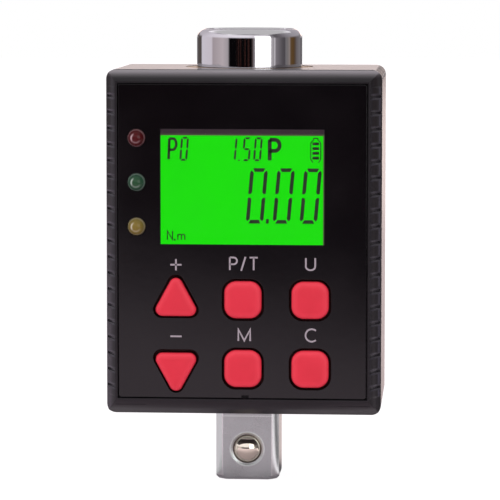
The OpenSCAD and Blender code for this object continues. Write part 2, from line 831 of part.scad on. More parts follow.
// The flats' own small bevels at the end face
module tip_bevels() {
  tip_flat = 0.5;
  half = drive_af / 2;
  full = half + cut;
  intersection_for (turn = [0, 90]) rotate([0, 0, turn])
    translate([-full, 0, 0]) rotate([90, 0, 90]) linear_extrude(2 * full)
      polygon([[tip_flat - half, 0], [half - tip_flat, 0], [half, tip_flat], [half, case_z0],
               [-half, case_z0], [-half, tip_flat]]);
}

// Female square with its lead-in, drill end and detent groove
module socket_cut() {
  translate([-socket_af / 2, -socket_af / 2, socket_z0]) cube([socket_af, socket_af, socket_depth + cut]);
  mouth_r = socket_af / sqrt(2);
  translate([0, 0, head_z1 - socket_lead])
    cylinder(r1 = mouth_r - socket_lead, r2 = mouth_r, h = socket_lead);
  translate([0, 0, socket_z0 - socket_drill_depth])
    cylinder(d = socket_af - socket_drill_step, h = socket_drill_depth + bond);
  translate([0, 0, head_z1 - ball_z - socket_groove_h / 2])
    cylinder(d = socket_groove_d, h = socket_groove_h);
}

module bush(inner_r, outer_r, z0, z1) {
  translate([0, 0, z0]) difference() {
    cylinder(r = outer_r, h = z1 - z0);
    translate([0, 0, -cut]) cylinder(r = inner_r, h = z1 - z0 + 2 * cut);
  }
}

// Its flange lies flush in the top of the case
module upper_bush() {
  top = case_z1 - bush_sink;
  bore_r = head_d / 2 + bush_fit;
  color("#8a6c40") {
    bush(bore_r, upper_bush_r, block_high_z0 + bush_lip + seat_gap, top);
    bush(bore_r, bush_flange_r, top - bush_flange_t, top);
  }
}

module lower_bush() {
  color("#8a6c40") bush(neck_d / 2 + bush_fit, lower_bush_r, inner_z0 + seat_gap, block_low_z1);
}

// A key's outline, grown by a margin
module key_outline(form, grow) {
  if (form == "square") round_rect(key_w + 2 * grow, key_w + 2 * grow, key_r + grow);
  else {
    turn = form == "up" ? 1 : -1;
    translate([0, turn * arrow_lift]) round_outline(arrow_centres(turn), arrow_r + grow);
  }
}

module key(place) {
  spot = KEY_TABLE[place];
  color("#e43c50") translate([key_x(spot[0]), 0, key_z(spot[1])]) {
    slab(key_front_y, key_rim_y0 + bond) key_outline(spot[2], 0);
    slab(key_rim_y0, key_rim_y1) key_outline(spot[2], key_rim);
    rod(key_plunger_d / 2, key_rim_y1 - bond, key_end_y);
  }
}

module keypad_mat() {
  color("#b8b4b4") difference() {
    block([-mat_w / 2, mat_y0, mat_z0], [mat_w / 2, board_y0, mat_z1]);
    for (key = KEY_TABLE)
      rod(key_plunger_d / 2 + plunger_gap, mat_y0 - cut, board_y0 + cut, key_x(key[0]), key_z(key[1]));
    for (x = [-1, 1]) block([x * mat_w / 2 - mat_side, mat_y0 - cut, mat_z0 - cut],
                            [x * mat_w / 2 + mat_side, board_y0 + cut, board_z0 + pad_w + seat_gap]);
  }
}

// A lamp: a domed body with a flange and two leads, turned about an axis along Y
module lamp(place, tint) {
  r = lamp_d / 2;
  len = lamp_base_y - lamp_front_y;
  color(tint) translate([-lamp_x, 0, lamp_z(place)]) {
    translate([0, lamp_base_y, 0]) rotate([90, 0, 0]) rotate_extrude() {
      difference() {
        square([r, len]);
        translate([0, len - r]) difference() {
          square([r + cut, r + cut]);
          circle(r);
        }
      }
      square([lamp_flange_r, lamp_flange_h]);
    }
    for (side = [-1, 1]) rod(lamp_lead_r, lamp_base_y - bond, board_y0, side * lamp_lead_x);
  }
}

module detent_ball() {
  color("#d8d8dc") translate([0, ball_y, ball_z]) sphere(ball_r);
}

// Behind the ball, drawn at the length it has with the ball pushed in
module detent_spring() {
  mean_r = (ball_spring_d - ball_wire) / 2;
  seat = ball_y + sqrt(pow(ball_r + ball_wire / 2, 2) - pow(mean_r, 2)) - ball_wire / 2 + spring_fit;
  color("#b0b0b4") translate([0, seat, ball_z]) rotate([-90, 0, 0])
    coil(mean_r, mean_r, ball_wire, ball_bore_y1 - ball_travel - spring_rest - seat, 3);
}

// A cell from its flat end, button up
module cell() {
  cylinder(d = cell_d, h = cell_len - button_h);
  cylinder(d = button_d, h = cell_len);
}

module battery_left() {
  color("#c88a28") translate([-cell_x, cell_y, bay_z0 + terminal_t + cell_spring_h]) cell();
}

module battery_right() {
  color("#c88a28") translate([cell_x, cell_y, bay_z1 - terminal_t - cell_spring_h])
    mirror([0, 0, 1]) cell();
}

module battery_terminals() {
  color("#c8c8c8") for (x = [-cell_x, cell_x], z = [bay_z0, bay_z1 - terminal_t])
    translate([x - terminal_w / 2, bay_floor_y1 + seat_gap / 2, z])
      cube([terminal_w, terminal_h, terminal_t]);
}

module battery_springs() {
  turns = 2.5;
  color("#d0d0d0") {
    translate([-cell_x, cell_y, bay_z0 + terminal_t])
      coil(spring_foot_r, spring_top_r, cell_wire, cell_spring_h, turns);
    translate([cell_x, cell_y, bay_z1 - terminal_t]) mirror([0, 0, 1])
      coil(spring_foot_r, spring_top_r, cell_wire, cell_spring_h, turns);
  }
}

// One lead from each bay to the board
module battery_leads() {
  color("#a02828") for (x = [-cell_x, cell_x]) rod(lead_r, board_y1, bay_floor_y1 + lead_end, x, lead_z);
}

module battery_door() {
  color("#2a272a") difference() {
    translate([0, 0, door_z]) slab(door_y0, case_back)
      round_rect(door_w, door_h, door_r);
    for (z = door_screw_z) {
      rod(door_screw_d / 2 + seat_gap, door_y0 - cut, case_back, 0, z);
      rod(door_screw_head_r + seat_gap, case_back - door_screw_head_h - seat_gap, case_back + cut, 0, z);
    }
  }
}

// A pan-head screw along Y with its head's top at y, and a cross slot in it
module screw(x, y, z, shank_r, len, head_r, head_h) {
  difference() {
    union() {
      rod(head_r, y - head_h, y, x, z);
      rod(shank_r, y - head_h - len, y - head_h + bond, x, z);
    }
    for (turn = [0, 90]) translate([x, y - slot_depth, z]) rotate([0, turn, 0])
      translate([-head_r * slot_share, 0, -slot_w / 2])
        cube([2 * head_r * slot_share, slot_depth + cut, slot_w]);
  }
}

module door_screws() {
  color("#8a8a8e") for (z = door_screw_z)
    screw(0, case_back - seat_gap, z, door_screw_d / 2, door_screw_len, door_screw_head_r,
          door_screw_head_h - seat_gap);
}

module housing_screws() {
  color("#8a8a8e") housing_screw_places()
    screw(0, housing_head_y + housing_head_h, 0, housing_screw_d / 2, housing_screw_len, housing_head_r,
          housing_head_h);
}

module board_screws() {
  color("#b0a060") board_screw_places()
    screw(0, board_y1 + board_head_h, 0, board_screw_d / 2, board_screw_len, board_head_r, board_head_h);
}

front_shell();
back_shell();
front_panel();
display_window();
lcd_glass();
lcd_backlight();
lcd_frame();
circuit_board();
processor_chip();
amplifier_chip();
buzzer();
gauge_connector();
gauge_cable();
strain_gauges();
torque_shaft();
upper_bush();
lower_bush();
keypad_mat();
key(0);  // key_plus
key(1);  // key_minus
key(2);  // key_set
key(3);  // key_unit
key(4);  // key_memory
key(5);  // key_clear
lamp(1, "#8b1a20");  // led_red
lamp(0, "#2c7a40");  // led_green
lamp(-1, "#b8a040");  // led_yellow
detent_ball();
detent_spring();
battery_left();
battery_right();
battery_terminals();
battery_springs();
battery_leads();
battery_door();
door_screws();
housing_screws();
board_screws();
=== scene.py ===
"""Looks of the digital torque adapter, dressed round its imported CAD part.

Sizes are in millimetres unless a name says otherwise. The frame is the part's own: the origin is the
middle of the male square's end face, +Z runs up the shaft, and the front panel faces -Y.
"""

import logging
import math
from abc import ABC, abstractmethod
from dataclasses import dataclass
from enum import Enum
from functools import cache
from typing import Callable, Mapping, Sequence, Union

import bmesh
import bpy
from mathutils import Matrix, Vector

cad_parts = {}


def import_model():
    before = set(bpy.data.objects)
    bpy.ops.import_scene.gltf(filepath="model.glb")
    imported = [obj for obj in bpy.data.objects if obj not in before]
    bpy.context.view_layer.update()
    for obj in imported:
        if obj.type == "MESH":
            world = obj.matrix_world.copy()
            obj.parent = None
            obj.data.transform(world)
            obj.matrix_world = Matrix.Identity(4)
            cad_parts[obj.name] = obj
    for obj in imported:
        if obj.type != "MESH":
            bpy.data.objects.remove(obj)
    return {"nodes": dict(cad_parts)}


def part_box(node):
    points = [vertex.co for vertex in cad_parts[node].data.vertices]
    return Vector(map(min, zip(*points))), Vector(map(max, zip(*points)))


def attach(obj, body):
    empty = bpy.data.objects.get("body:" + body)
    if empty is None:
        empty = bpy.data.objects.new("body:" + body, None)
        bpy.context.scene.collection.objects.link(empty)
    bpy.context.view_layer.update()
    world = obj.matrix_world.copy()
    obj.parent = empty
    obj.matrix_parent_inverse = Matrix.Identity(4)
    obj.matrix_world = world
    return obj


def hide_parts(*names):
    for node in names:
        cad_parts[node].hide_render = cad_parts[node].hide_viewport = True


LOG = logging.getLogger("torque_adapter")
MM = 0.001

# Points of a line that are nearer than TOUCH are one point, and so are a mesh's nearer than WELD_M metres.
TOUCH = 1e-6
WELD_M = 1e-7

# A bend in a stroke is pointed until the cosine of half its turn falls to this.
LEAST_MITRE = 0.35

# Edges sharper than this many degrees stay sharp, on marks and on round pieces.
MARK_SMOOTH = 20.0
ROUND_SMOOTH = 60.0

Flat = tuple[float, float]
Point = tuple[float, float, float]
Colour = tuple[float, float, float]
Box = tuple[Flat, Flat]
Stops = tuple[tuple[float, Colour], ...]
Operand = Union["Signal", float]
Socket = bpy.types.NodeSocket
Sockets = Mapping[Union[str, int], object]

WHITE: Colour = (1.0, 1.0, 1.0)
BLACK: Colour = (0.0, 0.0, 0.0)


class Body(Enum):
    """The CAD bodies that new pieces ride on."""

    HOUSING = "housing"
    BALL = "ball"
    PLUS = "plus_key"
    MINUS = "minus_key"
    SET = "set_key"
    UNIT = "unit_key"
    MEMORY = "memory_key"
    CLEAR = "clear_key"


class Slot(Enum):
    """The record's material slots of the new pieces."""

    KEY = "key_silicone"
    SPRING = "spring_wire"
    CELL = "cell_wrap"


def tint(*levels: int) -> Colour:
    """Turns a display colour into the linear one that a shader takes.

    Args:
        levels: Red, green and blue, from 0 to 255.

    Returns:
        The linear colour.
    """
    shares = [level / 255 for level in levels]
    return tuple(s / 12.92 if s <= 0.04045 else ((s + 0.055) / 1.055) ** 2.4 for s in shares)


def scaled(colour: Colour, share: float) -> Colour:
    """Returns a colour with each channel times a share."""
    return tuple(channel * share for channel in colour)


class Signal:
    """A socket in shader maths, so that a Python expression adds its Math nodes."""

    def __init__(self, graph: "Graph", socket: Socket) -> None:
        """Wraps a socket.

        Args:
            graph: The node tree that new nodes go into.
            socket: The output that carries the value.
        """
        self.graph = graph
        self.socket = socket

    def _maths(self, operation: str, *operands: Operand) -> "Signal":
        """Adds one Math node.

        Args:
            operation: The node's operation.
            operands: Its values, in order.

        Returns:
            The node's result.
        """
        node = self.graph.node("Math", dict(enumerate(operands)), operation=operation)
        return Signal(self.graph, node.outputs[0])

    def __add__(self, other: Operand) -> "Signal":
        """Adds."""
        return self._maths("ADD", self, other)

    def __sub__(self, other: Operand) -> "Signal":
        """Subtracts."""
        return self._maths("SUBTRACT", self, other)

    def __rsub__(self, other: Operand) -> "Signal":
        """Subtracts this from a number."""
        return self._maths("SUBTRACT", other, self)

    def __mul__(self, other: Operand) -> "Signal":
        """Multiplies."""
        return self._maths("MULTIPLY", self, other)

    def __truediv__(self, other: Operand) -> "Signal":
        """Divides."""
        return self._maths("DIVIDE", self, other)

    def __rtruediv__(self, other: Operand) -> "Signal":
        """Divides a number by this."""
        return self._maths("DIVIDE", other, self)

    __radd__ = __add__
    __rmul__ = __mul__

    def maximum(self, other: Operand) -> "Signal":
        """Returns the larger of two values."""
        return self._maths("MAXIMUM", self, other)

    def absolute(self) -> "Signal":
        """Returns the value without its sign."""
        return self._maths("ABSOLUTE", self)

    def distance(self, other: "Signal") -> "Signal":
        """Returns how far this and another value reach together, at right angles."""
        square = self * self + other * other
        return self._maths("SQRT", square)

    def turn_from(self, other: "Signal") -> "Signal":
        """Returns the angle whose tangent is this over the other, in degrees."""
        return self._maths("ARCTAN2", self, other) * (180 / math.pi)

    def repeat(self, period: float) -> "Signal":
        """Returns the distance into the current period, from 0 up to the period."""
        return self._maths("FLOORED_MODULO", self, period)

    def ramp(self, low: float, high: float, form: str = "SMOOTHSTEP") -> "Signal":
        """Rises from 0 at one value to 1 at another.

        Args:
            low: Where it is 0.
            high: Where it is 1.
            form: SMOOTHSTEP for a soft start and end, LINEAR for an even rise.

        Returns:
            The share, from 0 to 1.
        """
        sockets = {"Value": self, "From Min": low, "From Max": high}
        return Signal(self.graph, self.graph.node("MapRange", sockets, interpolation_type=form).outputs[0])

    def over(self, edge: float, soft: float) -> "Signal":
        """Is 1 above an edge of the given softness and 0 below it."""
        return self.ramp(edge - soft / 2, edge + soft / 2)

    def under(self, edge: float, soft: float) -> "Signal":
        """Is 1 below an edge of the given softness and 0 above it."""
        return 1 - self.over(edge, soft)

    def band(self, low: float, high: float, soft: float) -> "Signal":
        """Is 1 between two edges of the given softness and 0 outside them."""
        return self.over(low, soft) * self.under(high, soft)


class Graph:
    """A node tree, with one method that adds any node."""

    def __init__(self, tree: bpy.types.NodeTree) -> None:
        """Takes over a node tree and empties it.

        Args:
            tree: The material's or the world's nodes.
        """
        self.tree = tree
        tree.nodes.clear()

    def node(self, kind: str, sockets: Sockets | None = None, **settings: object) -> bpy.types.Node:
        """Adds a node.

        Args:
            kind: The node's type, without the words that all types start with.
            sockets: The value of each input, or the signal or socket that feeds it.
            settings: Its own settings, which are set first. "stops" are a ramp's places and colours.

        Returns:
            The node.
        """
        made = self.tree.nodes.new(f"ShaderNode{kind}")
        stops = settings.pop("stops", ())
        for name, value in settings.items():
            setattr(made, name, value)
        # A new ramp has two stops.
        for _ in stops[2:]:
            made.color_ramp.elements.new(1.0)
        for k, (place, colour) in enumerate(stops):
            made.color_ramp.elements[k].position = place
            made.color_ramp.elements[k].color = (*colour, 1.0)
        for name, value in (sockets or {}).items():
            socket = made.inputs[name]
            value = value.socket if isinstance(value, Signal) else value
            if isinstance(value, Socket):
                self.tree.links.new(value, socket)
            else:
                socket.default_value = (*value, 1.0) if socket.type == "RGBA" else value
        return made

    def place(self) -> Socket:
        """Returns the point on the object, in metres in the part's frame."""
        return self.node("TexCoord").outputs["Object"]

    def split(self, vector: Socket) -> tuple[Signal, Signal, Signal]:
        """Returns a vector's X, Y and Z."""
        return tuple(Signal(self, out) for out in self.node("SeparateXYZ", {0: vector}).outputs)

    def spot(self) -> tuple[Signal, Signal, Signal]:
        """Returns X, Y and Z of the point on the object, in millimetres."""
        return tuple(axis / MM for axis in self.split(self.place()))

    def noise(self, size: float, detail: float = 3.0, stretch: Point = (1.0, 1.0, 1.0)) -> Signal:
        """Adds noise over the surface.

        Args:
            size: The size of its largest grains, in millimetres.
            detail: How many finer layers it has.
            stretch: How much finer it is along each axis.

        Returns:
            The noise, from 0 to 1.
        """
        place = self.node("Mapping", {"Vector": self.place(), "Scale": stretch}).outputs[0]
        sockets = {"Vector": place, "Scale": 1 / (size * MM), "Detail": detail}
        return Signal(self, self.node("TexNoise", sockets).outputs[0])

    def tone(self, base: object, *coats: tuple[Operand, object]) -> Socket:
        """Lays colours over a colour, one on another.

        Args:
            base: The lowest colour, or the output that carries it.
            coats: The share of each coat, from 0 to 1, and its colour.

        Returns:
            The colour that shows.
        """
        for share, coat in coats:
            base = self.node("Mix", {0: share, 6: base, 7: coat}, data_type="RGBA").outputs[2]
        return base

    def relief(self, height: Signal, depth: float, edge: float = 0.0) -> Socket:
        """Turns a height over the surface into a normal.

        Args:
            height: The height, from 0 to 1.
            depth: How deep a height of 1 is, in millimetres.
            edge: The radius that edges are softened to, in millimetres, or 0 for none.

        Returns:
            The normal.
        """
        sockets = {"Height": height, "Distance": depth * MM}
        if edge > 0:
            sockets["Normal"] = self.node("Bevel", {"Radius": edge * MM}, samples=6).outputs[0]
        return self.node("Bump", sockets).outputs[0]

    def surface(self, sockets: Sockets) -> Socket:
        """Adds the main shader and returns its output."""
        return self.node("BsdfPrincipled", sockets).outputs[0]


@dataclass(frozen=True)
class Finish(ABC):
    """The finish of a surface."""

    name: str

    @cache
    def material(self) -> bpy.types.Material:
        """Makes the finish's material, once for all the pieces that share it.

        Returns:
            The material.
        """
        made = bpy.data.materials.new(f"finish_{self.name}")
        made.use_nodes = True
        graph = Graph(made.node_tree)
        graph.node("OutputMaterial", {"Surface": graph.surface(self.shade(graph))})
        return made

    @abstractmethod
    def shade(self, graph: Graph) -> Sockets:
        """Adds the finish's nodes.

        Args:
            graph: The material's nodes.

        Returns:
            The main shader's inputs.
        """


@dataclass(frozen=True)
class MouldedPlastic(Finish):
    """Moulded plastic or rubber with a fine grain."""

    colour: Colour
    worn: Colour
    roughness: float = 0.45
    grain: float = 0.28
    depth: float = 0.01
    edge: float = 0.12
    sheen: float = 0.0

    def shade(self, graph: Graph) -> Sockets:
        """Adds a grained surface with slow changes of tone.

        Args:
            graph: The material's nodes.

        Returns:
            The main shader's inputs.
        """
        grain = graph.noise(self.grain, 4.0)
        drift = graph.noise(14.0, 2.0).ramp(0.3, 0.7)
        return {
            "Base Color": graph.tone(self.colour, (drift * 0.6 + grain * 0.3, self.worn)),
            "Roughness": self.roughness + (grain - 0.5) * 0.16 + (drift - 0.5) * 0.05,
            "Normal": graph.relief(grain, self.depth, self.edge),
            "Sheen Weight": self.sheen,
        }


@dataclass(frozen=True)
class CasePlastic(Finish):
    """The case's satin black, with a crowned front rim and soft-edged pads between the grip grooves.

    pad_rows counts the rows of pads above the groove at groove_z, and as many are below it.
    """

    colour: Colour = (0.008, 0.0062, 0.0082)
    worn: Colour = (0.0125, 0.01, 0.013)
    # Painted highlight along the pads' groove edges and inner edge.
    edge_highlight: Colour = (0.045, 0.042, 0.056)
    # Painted light on the top face.
    dust_and_top_light: Colour = (0.25, 0.225, 0.245)
    # Painted highlight along the top crest.
    crest_highlight: Colour = (0.75, 0.7, 0.74)
    # Painted fill light that lifts the shade in the grooves.
    groove_fill_light: Colour = (0.055, 0.05, 0.06)
    # Painted highlight along the pads' outer ridge on +X.
    ridge_highlight: Colour = (0.075, 0.07, 0.1)
    roughness: float = 0.38
    front_y: float = -21.0
    rim_depth: float = 4.4
    rim_back: float = 4.1
    crown: float = 2.2
    groove_z: float = 49.4
    groove_pitch: float = 3.18
    groove_half: float = 0.42
    pad_rows: float = 9.6
    pad_x: float = 25.1
    pad_drop: float = 0.09
    top_z: float = 83.2
    side_x: float = 27.2

    def shade(self, graph: Graph) -> Sockets:
        """Adds the plastic.

        Args:
            graph: The material's nodes.

        Returns:
            The main shader's inputs.
        """
        x, y, z = graph.spot()
        side = x.absolute()
        back = self.front_y + self.rim_back
        grain = graph.noise(0.2, 4.0)
        drift = graph.noise(12.0, 2.0).ramp(0.3, 0.7)
        deep = ((y - self.front_y) / self.rim_depth).ramp(0.0, 1.0, "LINEAR") - 0.5
        away = ((z - self.groove_z) / self.groove_pitch + 0.5).repeat(1.0) - 0.5
        away = away.absolute() * self.groove_pitch
        half = self.groove_pitch * self.pad_rows
        rows = (z - self.groove_z).band(-half, half, 0.4)
        pads = side.over(self.pad_x - 0.05, 0.4) * y.under(back + 0.25, 0.3) * rows
        rise = away.over(self.groove_half + 0.025, 0.45)
        # Painted highlights along the pads' groove edges and along their inner edge.
        lip = away.band(self.groove_half - 0.02, self.groove_half + 0.2, 0.2) * pads
        inner = side.band(self.pad_x - 0.05, self.pad_x + 0.2, 0.2) * pads
        # Painted light on the top face, brightest along its crest.
        top_light = z.over(self.top_z - 0.625, 2.25) * y.under(back, 0.6)
        crest = z.over(self.top_z - 0.4, 1.2) * y.under(back, 0.4)
        rim = side.over(self.pad_x + 0.2, 0.4) * y.under(back + 1.25, 0.3)
        # Painted fill light that lifts the shade in the grooves.
        dip = away.under(self.groove_half, 0.24) * rim * rows
        # Painted highlight along the pads' outer ridge on +X.
        ridge = x.band(self.pad_x + 1.5, self.pad_x + 1.85, 0.25) * pads * rise
        plain = z.over(self.top_z - 0.125, 0.15).maximum(side.over(self.side_x - 0.125, 0.15))
        height = grain * 0.007 - deep * deep * self.crown + pads * rise * self.pad_drop
        return {
            "Base Color": graph.tone(
                self.colour,
                (drift * 0.6 + grain * 0.3, self.worn),
                (top_light, self.dust_and_top_light),
                (crest * 0.32, self.crest_highlight),
                (dip * 0.8, self.groove_fill_light),
                (ridge * 0.7, self.ridge_highlight),
                (lip.maximum(inner * 0.3) * 0.6, self.edge_highlight),
            ),
            "Roughness": self.roughness + (grain - 0.5) * 0.14 + (drift - 0.5) * 0.05,
            "Specular IOR Level": 0.34,
            "Coat Weight": plain,
            "Coat Roughness": 0.3,
            "Normal": graph.relief(height, 1.0, 0.22),
        }


@dataclass(frozen=True)
class KeySilicone(Finish):
    """A key's red silicone, with a painted highlight round its side and painted shade down in its opening.
    """

    colour: Colour = (0.78, 0.025, 0.053)
    worn: Colour = (0.7, 0.02, 0.042)
    # Painted highlight round the key's side near the panel.
    pale: Colour = (0.98, 0.062, 0.1)
    # Painted shade down in the key's opening.
    deep: Colour = (0.05, 0.002, 0.003)
    panel_y: float = -21.0
    roughness: float = 0.5

    def shade(self, graph: Graph) -> Sockets:
        """Adds the silicone.

        Args:
            graph: The material's nodes.

        Returns:
            The main shader's inputs.
        """
        y = graph.spot()[1] - self.panel_y
        grain = graph.noise(0.16, 4.0)
        drift = graph.noise(5.0, 2.0).ramp(0.3, 0.7)
        return {
            "Base Color": graph.tone(
                self.colour,
                (drift * 0.5 + grain * 0.3, self.worn),
                # Painted highlight near the panel, and painted shade behind its face.
                (y.band(-0.7, -0.22, 0.3) * 0.5, self.pale),
                (y.over(0.1, 0.5), self.deep),
            ),
            "Roughness": self.roughness + (grain - 0.5) * 0.14,
            "Normal": graph.relief(grain, 0.004),
            "Specular IOR Level": 0.35,
        }


@dataclass(frozen=True)
class PrintedFilm(Finish):
    """The front panel's black film: glossy, with a faint orange peel and dust."""

    colour: Colour = (0.003, 0.0022, 0.0031)
    dust_and_top_light: Colour = (0.0045, 0.0033, 0.0043)
    roughness: float = 0.13

    def shade(self, graph: Graph) -> Sockets:
        """Adds the film.

        Args:
            graph: The material's nodes.

        Returns:
            The main shader's inputs.
        """
        haze = graph.noise(18.0, 3.0).ramp(0.35, 0.75)
        return {
            "Base Color": graph.tone(self.colour, (haze, self.dust_and_top_light)),
            "Roughness": self.roughness + haze * 0.05 + (graph.noise(0.25) - 0.5) * 0.04,
            "Normal": graph.relief(graph.noise(1.6, 2.0), 0.004, 0.12),
        }


@dataclass(frozen=True)
class PlatedShaft(Finish):
    """The shaft: a bright chromed head, and a satin male square below the case."""

    bright: Colour = (0.74, 0.73, 0.75)
    satin: Colour = (0.484, 0.524, 0.515)
    # Brighter colour of the turned corners, a painted highlight.
    turned: Colour = (0.77, 0.82, 0.8)
    # Painted highlight round the ball's mouth and along the shoulder.
    edge_highlight: Colour = (0.79, 0.87, 0.83)
    # Painted shade inside the ball's mouth.
    mouth_shade: Colour = (0.36, 0.34, 0.35)
    change_z: float = 40.0
    ball_z: float = 6.25
    flat_y: float = -6.35
    mouth_r: float = 3.0
    shoulder_z: float = 12.95
    corner_r: float = 8.1
    end_z: float = 90.9

    def shade(self, graph: Graph) -> Sockets:
        """Adds both finishes, which change with height.

        Args:
            graph: The material's nodes.

        Returns:
            The main shader's inputs.
        """
        x, y, z = graph.spot()
        top = z.over(self.change_z, 2.0)
        out = x.distance(z - self.ball_z) - self.mouth_r
        front = y.under(self.flat_y + 0.05, 0.2)
        stake = out.band(-0.05, 0.4, 0.25) * front
        # Painted highlight round the ball's mouth.
        lip = out.band(0.05, 0.55, 0.22) * front
        # Painted shade inside the mouth.
        hollow = out.under(0.025, 0.15) * y.under(self.flat_y + 1.1, 0.5)
        # Painted highlight along the shoulder.
        shoulder = (z - self.shoulder_z).band(-0.12, 0.12, 0.15)
        # The turned corners are smoother, and brighter in colour as a painted highlight.
        corner = x.distance(y).over(self.corner_r - 0.09, 0.08)
        end = z.over(self.end_z - 0.08, 0.08)
        blast = graph.noise(0.16, 3.0)
        haze = graph.noise(7.0, 3.0)
        satin = graph.tone(
            self.satin,
            (haze.ramp(0.3, 0.7), scaled(self.satin, 1.12)),
            ((shoulder * 0.7).maximum(lip), self.edge_highlight),
            (corner, self.turned),
            (hollow * 0.75, self.mouth_shade),
        )
        bright = graph.tone(self.bright, (end, scaled(self.bright, 0.78)))
        rough_low = 0.29 - corner * 0.14 + (blast - 0.5) * 0.14 * (1 - corner) + (haze - 0.5) * 0.06
        rough_high = 0.028 + haze.ramp(0.45, 0.8) * 0.025 + end * 0.16
        return {
            "Base Color": graph.tone(satin, (top, bright)),
            "Metallic": 1.0,
            "Roughness": rough_low + (rough_high - rough_low) * top,
            "Normal": graph.relief(blast * (1 - top * 0.9) * 0.07 + stake, 0.07, 0.35),
        }


@dataclass(frozen=True)
class BareMetal(Finish):
    """Bare or plated metal with fine scratches."""

    colour: Colour
    roughness: float = 0.25
    scratches: float = 0.004
    edge: float = 0.06
    metallic: float = 1.0

    def shade(self, graph: Graph) -> Sockets:
        """Adds the metal.

        Args:
            graph: The material's nodes.

        Returns:
            The main shader's inputs.
        """
        lines = graph.noise(0.3, 4.0, (1.0, 1.0, 0.12))
        haze = graph.noise(3.0, 3.0).ramp(0.3, 0.75)
        return {
            "Base Color": graph.tone(self.colour, (haze * 0.7, scaled(self.colour, 0.8))),
            "Metallic": self.metallic,
            "Roughness": self.roughness * (haze * 0.35 + 0.85) + (lines - 0.5) * 0.06,
            "Normal": graph.relief(lines, self.scratches, self.edge),
        }


@dataclass(frozen=True)
class LampEpoxy(Finish):
    """Tinted epoxy of an indicator lamp, with painted shade towards its rim and a painted crescent
    highlight.
    """

    middle: Colour
    # Painted shade towards the dome's rim.
    rim: Colour
    # Colour of the painted crescent highlight.
    crescent_highlight: Colour
    centre: Flat
    radius: float = 1.75

    def shade(self, graph: Graph) -> Sockets:
        """Adds the epoxy.

        Args:
            graph: The material's nodes.

        Returns:
            The main shader's inputs.
        """
        x, _, z = graph.spot()
        across, up = x - self.centre[0], z - self.centre[1]
        away = across.distance(up)
        out = away / self.radius
        # A painted crescent highlight, brightest on the left and low side, with a faint ring at the edge.
        left = (across * -0.85 + up * 0.12).ramp(0.3, 0.85)
        low = (up * -0.9).ramp(0.1, 0.8) * 0.3
        crescent = (away.band(0.72, 1.0, 0.3) * left.maximum(low)).maximum(out.band(0.86, 1.1, 0.1) * 0.22)
        return {
            "Base Color": graph.tone(self.middle, (out.ramp(0.3, 1.0), self.rim), (crescent * 0.75, self.crescent_highlight)),
            "Roughness": 0.16 + graph.noise(0.5) * 0.08,
            "Normal": graph.relief(graph.noise(0.8, 2.0), 0.003),
            "Specular IOR Level": 0.2,
            "Coat Weight": 0.12,
            "Coat Roughness": 0.12,
        }


@dataclass(frozen=True)
class ClearWindow(Finish):
    """The clear pane over the display."""

    colour: Colour = (0.96, 0.97, 0.97)
    smeared: Colour = (0.93, 0.95, 0.95)

    def shade(self, graph: Graph) -> Sockets:
        """Adds the pane.

        Args:
            graph: The material's nodes.

        Returns:
            The main shader's inputs.
        """
        smear = graph.noise(9.0, 3.0).ramp(0.4, 0.8)
        return {
            "Base Color": graph.tone(self.colour, (smear, self.smeared)),
            "Roughness": 0.02 + smear * 0.03,
            "Transmission Weight": 1.0,
            "IOR": 1.2,
        }


@dataclass(frozen=True)
class LitGlass(Finish):
    """The display's glass, lit from behind inside a dark margin."""

    light: Colour = (0.012, 0.76, 0.004)
    faint: Colour = (0.014, 0.72, 0.006)
    margin: Colour = (0.036, 0.024, 0.03)
    spill: Colour = (0.07, 0.12, 0.035)
    glass: Colour = (0.002, 0.01, 0.002)
    mask: Colour = (0.03, 0.02, 0.025)
    lit_top: float = 70.32
    lit_right: float = 15.75
    pitch: float = 0.35
    line: float = 0.04

    def shade(self, graph: Graph) -> Sockets:
        """Adds the lit glass, with a faint grid of cells.

        Args:
            graph: The material's nodes.

        Returns:
            The main shader's inputs.
        """
        x, _, z = graph.spot()
        across, up = (axis.repeat(self.pitch).band(0.0, self.line, 0.03) for axis in (x, z))
        uneven = graph.noise(8.0, 2.0).ramp(0.35, 0.7) * 0.5 + across.maximum(up) * 0.2
        dark = z.over(self.lit_top, 0.12).maximum(x.over(self.lit_right, 0.12))
        unlit = graph.tone(self.margin, (z.under(self.lit_top + 0.25, 0.5) * 0.8, self.spill))
        return {
            "Base Color": graph.tone(self.glass, (dark, self.mask)),
            "Roughness": 0.5 + uneven * 0.1,
            "Specular IOR Level": 0.05,
            "Emission Color": graph.tone(self.light, (uneven, self.faint), (dark, unlit)),
            "Emission Strength": 1.0,
        }


@dataclass(frozen=True)
class SolderMask(Finish):
    """The circuit board's green mask, with tracks and pads under it."""

    colour: Colour = (0.012, 0.13, 0.04)
    track: Colour = (0.02, 0.22, 0.07)
    pad: Colour = (0.6, 0.5, 0.3)
    pitch: float = 1.27
    pad_pitch: float = 2.6

    def shade(self, graph: Graph) -> Sockets:
        """Adds the mask.

        Args:
            graph: The material's nodes.

        Returns:
            The main shader's inputs.
        """
        x, _, z = graph.spot()
        lane = graph.noise(7.0, 1.0).ramp(0.48, 0.52)
        upright, level = (axis.repeat(self.pitch).band(0.4, 0.75, 0.06) for axis in (x, z))
        track = upright * lane + level * (1 - lane)
        cells = graph.node("TexVoronoi", {"Vector": graph.place(), "Scale": 1 / (self.pad_pitch * MM)})
        near = 1 - Signal(graph, cells.outputs["Distance"]).ramp(0.1, 0.16)
        dots = near * graph.noise(11.0, 1.0).ramp(0.5, 0.6)
        return {
            "Base Color": graph.tone(self.colour, (track, self.track), (dots, self.pad)),
            "Metallic": dots * 0.9,
            "Roughness": 0.3 + track * 0.08,
            "Normal": graph.relief(track.maximum(dots), 0.035, 0.05),
        }


